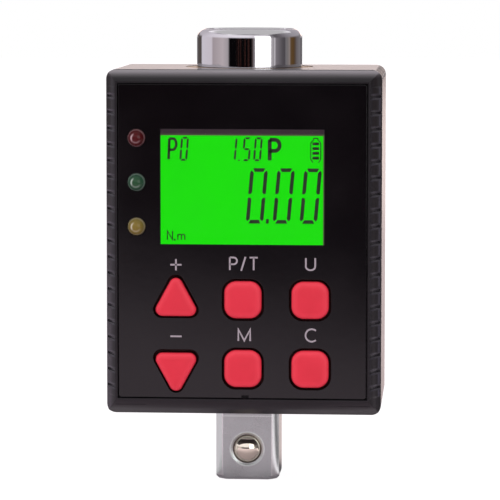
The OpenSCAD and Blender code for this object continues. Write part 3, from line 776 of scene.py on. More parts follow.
@dataclass(frozen=True)
class CellSleeve(Finish):
    """A dry cell: a dark sleeve with a copper band, and bare ends."""

    sleeve: Colour = (0.012, 0.012, 0.014)
    band: Colour = (0.62, 0.28, 0.09)
    steel: Colour = (0.62, 0.61, 0.6)
    low_z: float = 26.0
    high_z: float = 70.0
    band_share: float = 0.28
    flipped: bool = False

    def shade(self, graph: Graph) -> Sockets:
        """Adds the sleeve.

        Args:
            graph: The material's nodes.

        Returns:
            The main shader's inputs.
        """
        height = (graph.spot()[2] - self.low_z) / (self.high_z - self.low_z)
        up = 1 - height if self.flipped else height
        copper = up.over(1 - self.band_share, 0.008)
        bare = 1 - up.band(0.012, 0.965, 0.004)
        return {
            "Base Color": graph.tone(self.sleeve, (copper, self.band), (bare, self.steel)),
            "Metallic": (copper * 0.75).maximum(bare),
            "Roughness": 0.24 + graph.noise(2.2, 4.0).ramp(0.4, 0.8) * 0.14,
            "Normal": graph.relief(graph.noise(0.9, 3.0), 0.004),
        }


@dataclass(frozen=True)
class GaugeFoil(Finish):
    """A strain gauge: an etched foil grid on an amber film."""

    film: Colour = (0.46, 0.22, 0.04)
    foil: Colour = (0.7, 0.66, 0.58)
    middle_z: float = 43.8
    pitch: float = 0.5
    reach: float = 2.5

    def shade(self, graph: Graph) -> Sockets:
        """Adds the grid.

        Args:
            graph: The material's nodes.

        Returns:
            The main shader's inputs.
        """
        x, _, z = graph.spot()
        slant = x.absolute() + (z - self.middle_z).absolute() * 0.5
        grid = (x + z).repeat(self.pitch).band(0.08, 0.34, 0.05) * slant.under(self.reach, 0.2)
        return {
            "Base Color": graph.tone(self.film, (grid, self.foil)),
            "Metallic": grid,
            "Roughness": 0.36 + graph.noise(0.6) * 0.12,
            "Normal": graph.relief(grid, 0.01),
        }


@dataclass(frozen=True)
class Ink(Finish):
    """Printed or displayed marks."""

    colour: Colour
    roughness: float = 0.55

    def shade(self, graph: Graph) -> Sockets:
        """Adds the ink, slightly uneven.

        Args:
            graph: The material's nodes.

        Returns:
            The main shader's inputs.
        """
        grain = graph.noise(0.18, 3.0)
        return {
            "Base Color": graph.tone(self.colour, (grain.ramp(0.35, 0.75), scaled(self.colour, 0.86))),
            "Roughness": self.roughness + (grain - 0.5) * 0.15,
            "Normal": graph.relief(grain, 0.002),
        }


@dataclass(frozen=True)
class Finishes:
    """Every finish of the object but the lamps'."""

    case: Finish = CasePlastic("case_plastic")
    panel: Finish = PrintedFilm("panel_film")
    window: Finish = ClearWindow("window_clear")
    display: Finish = LitGlass("display_green")
    segment: Finish = Ink("segment_ink", (0.018, 0.036, 0.012))
    legend: Finish = Ink("legend_ink", (0.4, 0.35, 0.385))
    backlight: Finish = MouldedPlastic(
        "backlight_acrylic", (0.6, 0.82, 0.55), (0.52, 0.76, 0.48), 0.2, 1.4, 0.004
    )
    frame: Finish = MouldedPlastic("display_frame", (0.05, 0.05, 0.052), (0.06, 0.06, 0.062), 0.5)
    board: Finish = SolderMask("board_mask")
    chip: Finish = MouldedPlastic(
        "chip_resin", (0.018, 0.018, 0.019), (0.027, 0.027, 0.027), 0.5, 0.12, 0.008
    )
    connector: Finish = MouldedPlastic("connector_nylon", (0.76, 0.72, 0.6), (0.7, 0.65, 0.52), 0.45)
    cable: Finish = BareMetal("cable_film", (0.55, 0.25, 0.06), 0.24, 0.003, 0.04, 0.25)
    gauge: Finish = GaugeFoil("gauge_foil")
    shaft: Finish = PlatedShaft("plated_shaft")
    bush: Finish = BareMetal("bush_bronze", (0.42, 0.27, 0.12), 0.36, 0.006, 0.1)
    mat: Finish = MouldedPlastic("mat_silicone", (0.5, 0.48, 0.48), (0.44, 0.42, 0.42), 0.6, sheen=0.2)
    key: Finish = KeySilicone("key_silicone")
    ball: Finish = BareMetal("ball_steel", (0.98, 0.92, 0.76), 0.07, 0.001, 0.02)
    spring: Finish = BareMetal("spring_steel", (0.6, 0.59, 0.59), 0.26)
    cell_up: Finish = CellSleeve("cell_sleeve_up")
    cell_down: Finish = CellSleeve("cell_sleeve_down", flipped=True)
    lead: Finish = MouldedPlastic("lead_sleeve", (0.34, 0.025, 0.025), (0.28, 0.02, 0.02), 0.5)
    screw: Finish = BareMetal("screw_steel", (0.28, 0.27, 0.28), 0.32, 0.008)


FINISH = Finishes()


def arc(centre: Flat, radius: Flat, start: float, end: float, steps: int = 12) -> list[Flat]:
    """Draws part of an ellipse.

    Args:
        centre: Its middle.
        radius: Its half width and half height.
        start: The first point's angle in degrees, from +X towards +Z.
        end: The last point's angle in degrees.
        steps: How many straight steps it has.

    Returns:
        Its points.
    """
    turns = [math.radians(start + (end - start) * k / steps) for k in range(steps + 1)]
    return [(centre[0] + radius[0] * math.cos(t), centre[1] + radius[1] * math.sin(t)) for t in turns]


def rounded(centres: Sequence[Flat], radius: float, count: int) -> list[Flat]:
    """Draws a convex shape with round corners.

    Args:
        centres: The corners' centres, counterclockwise.
        radius: The corners' radius.
        count: How many points each corner has.

    Returns:
        The outline.
    """
    outline: list[Flat] = []
    for k, here in enumerate(centres):
        before, after = centres[k - 1], centres[(k + 1) % len(centres)]
        first = math.degrees(math.atan2(here[1] - before[1], here[0] - before[0])) - 90
        last = math.degrees(math.atan2(after[1] - here[1], after[0] - here[0])) - 90
        outline.extend(arc(here, (radius, radius), first, last + 360 * (last < first), count - 1))
    return outline


class Solid:
    """A mesh under construction, in millimetres."""

    def __init__(self) -> None:
        """Starts an empty mesh."""
        self.points: list[Point] = []
        self.faces: list[tuple[int, ...]] = []

    def loft(self, rings: Sequence[Sequence[Point]]) -> None:
        """Joins closed rings of equal length with walls, and closes both ends with faces.

        Args:
            rings: The rings, in order.
        """
        start, size = len(self.points), len(rings[0])
        for ring in rings:
            self.points.extend(ring)
        last = start + (len(rings) - 1) * size
        for row in range(start, last, size):
            for k in range(size):
                a, b = row + k, row + (k + 1) % size
                self.faces.append((a, b, b + size, a + size))
        self.faces.append(tuple(range(start + size - 1, start - 1, -1)))
        self.faces.append(tuple(range(last, last + size)))

    def finish(self, name: str, finish: Finish, smooth: float = ROUND_SMOOTH) -> bpy.types.Object:
        """Makes the object.

        Args:
            name: Its name.
            finish: Its finish.
            smooth: Edges sharper than this many degrees stay sharp.

        Returns:
            The object, in the part's frame.
        """
        mesh = bpy.data.meshes.new(name)
        mesh.from_pydata([tuple(c * MM for c in point) for point in self.points], [], self.faces)
        work = bmesh.new()
        work.from_mesh(mesh)
        bmesh.ops.remove_doubles(work, verts=work.verts, dist=WELD_M)
        bmesh.ops.recalc_face_normals(work, faces=work.faces)
        work.to_mesh(mesh)
        work.free()
        mesh.shade_smooth()
        mesh.set_sharp_from_angle(angle=math.radians(smooth))
        mesh.materials.append(finish.material())
        made = bpy.data.objects.new(name, mesh)
        bpy.context.scene.collection.objects.link(made)
        LOG.info("built %s: %d faces", name, len(mesh.polygons))
        return made


# Each letter's width and its strokes, for a height of 1.
LETTERS: dict[str, tuple[float, list[list[Flat]]]] = {
    "P": (
        0.57,
        [
            [(0.0, 0.0), (0.0, 1.0)],
            [(0.0, 1.0), (0.3, 1.0), *arc((0.3, 0.73), (0.27, 0.27), 90, -90), (0.0, 0.46)],
        ],
    ),
    "T": (0.64, [[(0.0, 1.0), (0.64, 1.0)], [(0.32, 1.0), (0.32, 0.0)]]),
    "/": (0.34, [[(0.0, -0.06), (0.34, 1.06)]]),
    "U": (0.62, [[(0.0, 1.0), *arc((0.31, 0.31), (0.31, 0.31), 180, 360, 16), (0.62, 1.0)]]),
    "M": (0.76, [[(0.0, 0.0), (0.0, 1.0), (0.38, 0.04), (0.76, 1.0), (0.76, 0.0)]]),
    "C": (0.68, [arc((0.4, 0.5), (0.4, 0.5), 48, 312, 20)]),
    "N": (0.62, [[(0.0, 0.0), (0.0, 1.0), (0.62, 0.0), (0.62, 1.0)]]),
    "m": (
        0.76,
        [
            [(0.0, 0.0), (0.0, 0.66)],
            [(0.0, 0.5), *arc((0.19, 0.46), (0.19, 0.2), 180, 0, 8), (0.38, 0.0)],
            [(0.38, 0.46), *arc((0.57, 0.46), (0.19, 0.2), 180, 0, 8), (0.76, 0.0)],
        ],
    ),
    "+": (1.0, [[(0.0, 0.5), (1.0, 0.5)], [(0.5, 0.0), (0.5, 0.5)], [(0.5, 0.5), (0.5, 1.0)]]),
    "-": (1.0, [[(0.0, 0.5), (1.0, 0.5)]]),
}


class Marks(Solid):
    """Flat marks in the XZ plane, of one thickness."""

    def __init__(self, front: float, back: float) -> None:
        """Starts the marks.

        Args:
            front: Their front along Y.
            back: Their back along Y.
        """
        super().__init__()
        self.front = front
        self.back = back

    def plate(self, outline: Sequence[Flat]) -> None:
        """Adds a filled shape.

        Args:
            outline: The shape's corners, as X and Z.
        """
        area = sum(a[0] * b[1] - b[0] * a[1] for a, b in zip(outline, [*outline[1:], outline[0]]))
        turned = outline if area > 0 else outline[::-1]
        self.loft([[(x, y, z) for x, z in turned] for y in (self.back, self.front)])

    def bar(self, at: Flat, width: float, height: float, lean: float = 0.0) -> None:
        """Adds a bar.

        Args:
            at: Its low left corner.
            width: Its width.
            height: Its height.
            lean: How far its top stands to the right of its foot.
        """
        corners = ((0.0, 0.0), (width, 0.0), (width + lean, height), (lean, height))
        self.plate([(at[0] + x, at[1] + z) for x, z in corners])

    def ribbon(self, line: Sequence[Flat], width: float) -> None:
        """Adds a stroke of constant width.

        Args:
            line: The stroke's middle line.
            width: The stroke's width.
        """
        # One complex number holds X and Z, so that times 1j is a quarter turn.
        path = [complex(*b) for a, b in zip([(math.inf, 0.0), *line], line) if math.dist(a, b) > TOUCH]
        ways = [(b - a) / abs(b - a) for a, b in zip(path, path[1:])]
        rings = []
        for here, before, after in zip(path, [ways[0], *ways], [*ways, ways[-1]]):
            bent = (before + after) / abs(before + after)
            reach = bent * 1j * width / 2 / max(LEAST_MITRE, (bent * before.conjugate()).real)
            sides = ((1, self.front), (-1, self.front), (-1, self.back), (1, self.back))
            spots = [(here + reach * way, y) for way, y in sides]
            rings.append([(spot.real, y, spot.imag) for spot, y in spots])
        self.loft(rings)

    def write(self, text: str, box: Box, pen: float, slant: float = 0.0) -> None:
        """Draws letters side by side across a box.

        Args:
            text: The letters.
            box: The low and high corners of the space that they fill.
            pen: The strokes' width.
            slant: How far they lean to the right, as a share of their height.
        """
        (x0, z0), (x1, z1) = box
        size, room = z1 - z0 - pen, x1 - x0 - pen
        ink = sum(LETTERS[letter][0] for letter in text) * size
        gap = (room - ink) / (len(text) - 1) if len(text) > 1 else 0.0
        squeeze = room / ink if len(text) == 1 else 1.0
        left, foot = x0 + pen / 2, z0 + pen / 2
        for width, strokes in (LETTERS[letter] for letter in text):
            for stroke in strokes:
                line = [(left + (x * squeeze + z * slant) * size, foot + z * size) for x, z in stroke]
                self.ribbon(line, pen)
            left += width * size + gap


@dataclass(frozen=True)
class Digit:
    """A seven-segment digit."""

    width: float
    height: float
    bar: float
    gap: float
    waist: float
    slant: float
    tip_share: float = 0.35
    foot_share: float = 0.7

    def draw(self, marks: Marks, lit: str, at: Flat) -> None:
        """Draws the lit segments.

        Args:
            marks: The marks that take them.
            lit: The segments' letters, from a to g.
            at: The digit's low left corner, before it leans.
        """
        w, h, b, s, g = self.width, self.height, self.bar, self.bar / 2, self.gap
        m, tip, foot = h / 2, b * self.tip_share, b * self.foot_share
        end = m - self.waist
        under = [(w - b - g, m - s), (b + g, m - s)]
        flat = [(s + g, 0.0), (w - s - g, 0.0), (w - b - g, b), (b + g, b)]
        side = [(b, b + g), (tip, tip + g), (0.0, b + g), (0.0, end), (foot, end), (b, end - s)]
        shapes = {
            "a": [(x, h - z) for x, z in flat],
            "b": [(w - x, h - z) for x, z in side],
            "c": [(w - x, z) for x, z in side],
            "d": flat,
            "e": side,
            "f": [(x, h - z) for x, z in side],
            "g": [(s + g, m), (b + g, m + s), (w - b - g, m + s), (w - s - g, m), *under],
        }
        for letter in lit:
            marks.plate([(at[0] + x + z * self.slant, at[1] + z) for x, z in shapes[letter]])


@dataclass(frozen=True)
class Spring:
    """A coil of round wire, and the function that puts it in the part's frame."""

    foot_r: float
    top_r: float
    wire: float
    height: float
    turns: float
    to_frame: Callable[[Vector], Point]
    sides: int = 12
    steps: int = 40

    def wind(self) -> Solid:
        """Winds the coil.

        Returns:
            Its mesh.
        """
        rings = []
        steps = int(self.turns * self.steps)
        rise = self.height - self.wire
        sweep = 2 * math.pi * self.turns
        turns = [2 * math.pi * k / self.sides for k in range(self.sides)]
        for share in (i / steps for i in range(steps + 1)):
            angle = sweep * share
            radius = self.foot_r + (self.top_r - self.foot_r) * share
            out = Vector((math.cos(angle), math.sin(angle), 0.0))
            along = Vector((-radius * math.sin(angle), radius * math.cos(angle), rise / sweep)).normalized()
            up = out.cross(along)
            middle = out * radius + Vector((0.0, 0.0, self.wire / 2 + rise * share))
            spots = [middle + (out * math.cos(t) + up * math.sin(t)) * (self.wire / 2) for t in turns]
            rings.append([self.to_frame(spot) for spot in spots])
        solid = Solid()
        solid.loft(rings)
        return solid


def node_box(name: str) -> tuple[Vector, Vector, Vector]:
    """Returns a CAD node's lowest corner, highest corner and middle, in millimetres."""
    low, high = (Vector(corner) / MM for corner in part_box(name))
    return low, high, (low + high) / 2


class SubAssembly(ABC):
    """What every sub-assembly can do with its CAD nodes and new pieces."""

    @abstractmethod
    def build(self) -> None:
        """Builds the sub-assembly's pieces and dresses its nodes."""

    @staticmethod
    def dress(finish: Finish, *nodes: str) -> None:
        """Gives CAD nodes a finish.

        Args:
            finish: The finish.
            nodes: The nodes' names.
        """
        for name in nodes:
            node = bpy.data.objects[name]
            if not node.material_slots:
                node.data.materials.append(None)
            for place in node.material_slots:
                place.material = finish.material()
            LOG.info("dressed %s in %s", name, finish.name)

    @staticmethod
    def seat(piece: bpy.types.Object, body: Body, slot: Slot | None = None, *replaced: str) -> None:
        """Puts a new piece on its body.

        Args:
            piece: The piece.
            body: The body that it rides on.
            slot: The record's slot that it takes its finish from, or None for a mark of its own colour. Not
                used.
            replaced: The CAD nodes that it stands for.
        """
        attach(piece, body.value)
        if replaced:
            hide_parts(*replaced)


@dataclass(frozen=True)
class CaseShells(SubAssembly):
    """The front and back halves of the case."""

    def build(self) -> None:
        """Dresses both halves."""
        self.dress(FINISH.case, "front_shell", "back_shell")


@dataclass(frozen=True)
class FrontPanel(SubAssembly):
    """The black panel with its printed legends."""

    pen: float = 0.33
    rise: float = 0.015
    legends: tuple[tuple[str, str, Box], ...] = (
        ("legend_plus", "+", ((-14.3, 43.75), (-11.75, 46.3))),
        ("legend_minus", "-", ((-14.3, 29.6), (-11.75, 32.15))),
        ("legend_set", "P/T", ((-2.59, 43.9), (3.22, 46.7))),
        ("legend_unit", "U", ((12.33, 43.98), (14.5, 46.68))),
        ("legend_memory", "M", ((-0.9, 29.9), (1.75, 32.5))),
        ("legend_clear", "C", ((12.3, 29.9), (14.7, 32.7))),
    )

    def build(self) -> None:
        """Dresses the panel and prints its legends."""
        self.dress(FINISH.panel, "front_panel")
        face = node_box("front_panel")[0].y
        for name, text, box in self.legends:
            marks = Marks(face - self.rise, face + self.rise)
            marks.write(text, box, self.pen)
            self.seat(marks.finish(name, FINISH.legend, MARK_SMOOTH), Body.HOUSING)


BIG = Digit(3.45, 10.88, 0.72, 0.17, 0.37, 0.09)
SMALL = Digit(1.54, 4.68, 0.39, 0.08, 0.14, 0.085)


@dataclass(frozen=True)
class Display(SubAssembly):
    """The window, the lit glass behind it, its light plate and frame, and what the glass shows.

    Each digit, letter and dot is listed with the piece that it belongs to.
    """

    thickness: float = 0.05
    sink: float = 0.01
    pieces: tuple[str, ...] = (
        "reading_torque", "reading_preset", "reading_value", "reading_unit", "reading_peak", "battery_mark",
    )
    digits: tuple[tuple[str, Digit, str, Flat], ...] = (
        ("reading_torque", BIG, "abcdef", (0.55, 53.1)),
        ("reading_torque", BIG, "abcdef", (5.83, 53.1)),
        ("reading_torque", BIG, "abcdef", (11.12, 53.1)),
        ("reading_preset", SMALL, "abcdef", (-12.5, 65.36)),
        ("reading_value", SMALL, "bc", (-2.95, 65.36)),
        ("reading_value", SMALL, "acdfg", (-0.2, 65.36)),
        ("reading_value", SMALL, "abcdef", (2.0, 65.36)),
    )
    letters: tuple[tuple[str, str, Box, float, float], ...] = (
        ("reading_preset", "P", ((-14.85, 65.4), (-12.95, 69.95)), 0.5, 0.04),
        ("reading_unit", "N", ((-14.98, 49.68), (-13.72, 51.66)), 0.24, 0.0),
        ("reading_unit", "m", ((-12.9, 49.68), (-11.3, 51.55)), 0.22, 0.0),
        ("reading_peak", "P", ((4.9, 65.15), (7.6, 69.95)), 0.76, 0.0),
    )
    dots: tuple[tuple[str, Flat, float, float, float], ...] = (
        ("reading_torque", (4.52, 53.1), 0.56, 0.9, 0.08),
        ("reading_value", (-0.92, 65.36), 0.3, 0.3, 0.02),
        ("reading_unit", (-13.55, 49.62), 0.3, 0.36, 0.0),
    )
    battery_x: float = 14.3
    battery_half: float = 0.98
    battery_z: Flat = (65.12, 69.55)
    battery_cap: Flat = (0.42, 0.35)
    battery_pen: float = 0.2
    cap_pen: float = 0.22
    charge_bars: int = 4
    charge: Flat = (1.28, 0.56)
    charge_rise: float = 0.62
    charge_pitch: float = 0.93

    def build(self) -> None:
        """Dresses the display and draws what it shows."""
        self.dress(FINISH.window, "display_window")
        self.dress(FINISH.display, "lcd_glass")
        self.dress(FINISH.backlight, "lcd_backlight")
        self.dress(FINISH.frame, "lcd_frame")
        face = node_box("lcd_glass")[0].y
        drawn = {name: Marks(face - self.thickness, face + self.sink) for name in self.pieces}
        for name, digit, lit, at in self.digits:
            digit.draw(drawn[name], lit, at)
        for name, *letter in self.letters:
            drawn[name].write(*letter)
        for name, *dot in self.dots:
            drawn[name].bar(*dot)
        self._battery_mark(drawn["battery_mark"])
        for name, marks in drawn.items():
            self.seat(marks.finish(name, FINISH.segment, MARK_SMOOTH), Body.HOUSING)

    def _battery_mark(self, marks: Marks) -> None:
        """Draws the battery mark with its bars.

        Args:
            marks: The marks that take it.
        """
        (z0, z1), half, (cap, cap_h) = self.battery_z, self.battery_half, self.battery_cap
        side = [
            (cap, z1 + cap_h), (cap, z1), (half - 0.2, z1 - 0.28),
            (half, z1 - 0.7), (half, z0 + 0.7), (0.55, z0),
        ]
        for way in (-1, 1):
            marks.ribbon([(self.battery_x + way * x, z) for x, z in side], self.battery_pen)
        marks.ribbon([(self.battery_x + way * cap, z1 + cap_h) for way in (-1, 1)], self.cap_pen)
        for k in range(self.charge_bars):
            low = z0 + self.charge_rise + k * self.charge_pitch
            marks.bar((self.battery_x - self.charge[0] / 2, low), *self.charge)


class KeyForm(Enum):
    """The outlines that a key can have. An arrow's value is the way that it points along Z."""

    SQUARE = 0
    UP = 1
    DOWN = -1


@dataclass(frozen=True)
class Keypad(SubAssembly):
    """The six keys and the mat behind them."""

    square_w: float = 7.3
    square_r: float = 2.35
    arrow_w: float = 7.95
    arrow_h: float = 7.5
    arrow_r: float = 1.3
    arrow_lift: float = 0.6
    arrow_drop: float = 0.15
    rim: float = 0.7
    rim_front: float = 2.6
    rim_back: float = 3.6
    rim_ease: float = 0.12
    plunger_r: float = 2.3
    plunger_ease: float = 0.15
    root_h: float = 0.25
    root_flare: float = 0.06
    fillet: float = 1.1
    least_r: float = 0.05
    inset: float = 0.3
    crown: float = 0.06
    flare: float = 0.12
    corner: int = 12
    bites: int = 9

    def build(self) -> None:
        """Builds the keys and dresses the mat."""
        self.dress(FINISH.mat, "keypad_mat")
        arrows = {"plus": KeyForm.UP, "minus": KeyForm.DOWN}
        for key in ("plus", "minus", "set", "unit", "memory", "clear"):
            self._key(key, arrows.get(key, KeyForm.SQUARE))

    def _outline(self, form: KeyForm, grow: float) -> list[Flat]:
        """Draws a key's outline round its middle.

        Args:
            form: The key's form.
            grow: How far the outline is moved out.

        Returns:
            The outline.
        """
        if form is KeyForm.SQUARE:
            half = self.square_w / 2 - self.square_r
            centres = [(-half, -half), (half, -half), (half, half), (-half, half)]
            return rounded(centres, self.square_r + grow, self.corner)
        x, z, turn = self.arrow_w / 2 - self.arrow_r, self.arrow_h / 2 - self.arrow_r, form.value
        lift = turn * self.arrow_lift - self.arrow_drop
        centres = [(-x * turn, lift - z * turn), (x * turn, lift - z * turn), (0.0, lift + z * turn)]
        return rounded(centres, self.arrow_r + grow, self.corner)

    def _key(self, key: str, form: KeyForm) -> None:
        """Builds a key in place of its CAD node.

        Args:
            key: The key's name.
            form: Its outline.
        """
        low, high, middle = node_box(f"key_{key}")
        x, z, front, end = middle.x, middle.z - form.value * self.arrow_lift, low.y, high.y
        radius = self.square_r if form is KeyForm.SQUARE else self.arrow_r
        round_in = min(self.fillet, radius - self.inset - self.least_r)
        profile = [(-round_in - self.inset, 0.0)]
        for turn in (math.pi / 2 * k / self.bites for k in range(self.bites + 1)):
            drop = self.crown + (self.fillet - self.crown) * (1 - math.cos(turn))
            profile.append((-round_in * (1 - math.sin(turn)) + self.flare * turn / math.pi, drop))
        profile += [
            (self.flare, self.rim_front - self.root_h),
            (self.flare + self.root_flare, self.rim_front),
            (self.rim - self.rim_ease, self.rim_front),
            (self.rim, self.rim_front + self.rim_ease),
            (self.rim, self.rim_back - self.rim_ease),
            (self.rim - self.rim_ease, self.rim_back),
        ]
        rings = [[(x + a, front + y, z + b) for a, b in self._outline(form, grow)] for grow, y in profile]
        turns = [math.atan2(b, a) for a, b in self._outline(form, 0.0)]
        root, ease = front + self.rim_back, self.plunger_ease
        for grow, y in ((ease, root), (0.0, root + ease), (0.0, end - ease), (-ease, end)):
            r = self.plunger_r + grow
            rings.append([(x + r * math.cos(t), y, z + r * math.sin(t)) for t in turns])
        solid = Solid()
        solid.loft(rings)
        made = solid.finish(f"silicone_key_{key}", FINISH.key)
        self.seat(made, Body(f"{key}_key"), Slot.KEY, f"key_{key}")


@dataclass(frozen=True)
class Lamps(SubAssembly):
    """The three indicator lamps: each one's middle, painted rim shade and painted highlight, and its
    height.
    """

    x: float = -20.8
    lamps: tuple[tuple[str, Colour, Colour, Colour, float], ...] = (
        ("led_red", tint(74, 4, 8), tint(64, 6, 10), tint(225, 190, 195), 69.9),
        ("led_green", tint(40, 77, 49), tint(34, 66, 50), tint(205, 220, 208), 61.2),
        ("led_yellow", tint(124, 106, 44), tint(112, 98, 48), tint(226, 220, 200), 52.5),
    )

    def build(self) -> None:
        """Dresses the lamps."""
        for name, middle, rim, crescent_highlight, z in self.lamps:
            self.dress(LampEpoxy(f"{name}_epoxy", middle, rim, crescent_highlight, (self.x, z)), name)


@dataclass(frozen=True)
class Electronics(SubAssembly):
    """The circuit board, what is on it, and the strain gauges."""

    def build(self) -> None:
        """Dresses the board and its pieces."""
        self.dress(FINISH.board, "circuit_board")
        self.dress(FINISH.chip, "processor_chip", "amplifier_chip", "buzzer")
        self.dress(FINISH.connector, "gauge_connector")
        self.dress(FINISH.cable, "gauge_cable")
        self.dress(FINISH.gauge, "strain_gauges")


@dataclass(frozen=True)
class TorqueShaft(SubAssembly):
    """The shaft and the bushes that it sits in."""

    def build(self) -> None:
        """Dresses the shaft and its bushes."""
        self.dress(FINISH.shaft, "torque_shaft")
        self.dress(FINISH.bush, "upper_bush", "lower_bush")


@dataclass(frozen=True)
class Detent(SubAssembly):
    """The ball in the male square and its spring."""

    mean_r: float = 2.0
    wire: float = 0.6
    turns: float = 3.0

    def build(self) -> None:
        """Dresses the ball and winds its spring."""
        self.dress(FINISH.ball, "detent_ball")
        low, high, _ = node_box("detent_spring")
        z = node_box("detent_ball")[2].z
        coil = Spring(
            self.mean_r, self.mean_r, self.wire, high.y - low.y, self.turns,
            lambda spot: (spot.x, low.y + spot.z, z - spot.y),
        )
        self.seat(coil.wind().finish("detent_coil", FINISH.spring), Body.BALL, Slot.SPRING, "detent_spring")


@dataclass(frozen=True)
class BatteryPack(SubAssembly):
    """The two cells, their springs, terminals and leads, and the door over them."""

    cell_r: float = 5.25
    button_r: float = 1.9
    button_h: float = 0.8
    crimp: float = 0.35
    wire: float = 0.5
    foot_r: float = 3.8
    top_r: float = 2.2
    turns: float = 2.5
    sides: int = 48
    smooth: float = 50.0

    def build(self) -> None:
        """Builds the cells and their springs, and dresses the rest."""
        self.dress(FINISH.case, "battery_door")
        self.dress(FINISH.spring, "battery_terminals")
        self.dress(FINISH.lead, "battery_leads")
        self._cell("left", FINISH.cell_up, 1)
        self._cell("right", FINISH.cell_down, -1)
        self._coils()

    def _cell(self, side: str, finish: Finish, way: int) -> None:
        """Builds a cell in place of its CAD node.

        Args:
            side: The side of the shaft that it is on.
            finish: The cell's finish.
            way: 1 with the button up, -1 with it down.
        """
        low, high, middle = node_box(f"battery_{side}")
        length = high.z - low.z
        foot = low.z if way > 0 else high.z
        body = length - self.button_h
        r, c, b = self.cell_r, self.crimp, self.button_r
        profile = [
            (r - 1.6, 0.12), (r - 1.2, 0.0), (r - 0.6, 0.0), (r - 0.2, 0.12), (r - 0.05, 0.35), (r, 0.6),
            (r, body - 0.9), (r - 0.05, body - 0.5), (r - c, body - 0.12), (r - c - 0.3, body),
            (r - c - 0.7, body), (r - c - 0.9, body - 0.25), (b + 0.5, body - 0.3), (b + 0.1, body - 0.2),
            (b, body), (b, length - 0.2), (b - 0.2, length),
        ]
        turns = [2 * math.pi * k / self.sides for k in range(self.sides)]
        solid = Solid()
        solid.loft([
            [(middle.x + a * math.cos(t), middle.y + a * math.sin(t), foot + way * up) for t in turns]
            for a, up in profile
        ])
        made = solid.finish(f"cell_{side}", finish, self.smooth)
        self.seat(made, Body.HOUSING, Slot.CELL, f"battery_{side}")

    def _coils(self) -> None:
        """Winds both contact springs in place of their CAD node."""
        low, high, _ = node_box("battery_springs")
        height = node_box("battery_left")[0].z - low.z
        made = []
        for side, foot, way in (("left", low.z, 1), ("right", high.z, -1)):
            x, y, _ = node_box(f"battery_{side}")[2]
            coil = Spring(
                self.foot_r, self.top_r, self.wire, height, self.turns,
                lambda spot, x=x, y=y, foot=foot, way=way: (x + spot.x, y + spot.y, foot + way * spot.z),
            )
            made.append(coil.wind().finish(f"contact_coil_{side}", FINISH.spring))
        for piece in made:
            self.seat(piece, Body.HOUSING, Slot.SPRING, "battery_springs")


@dataclass(frozen=True)
class Fasteners(SubAssembly):
    """The screws of the door, the case and the board."""

    def build(self) -> None:
        """Dresses the screws."""
        self.dress(FINISH.screw, "door_screws", "housing_screws", "board_screws")


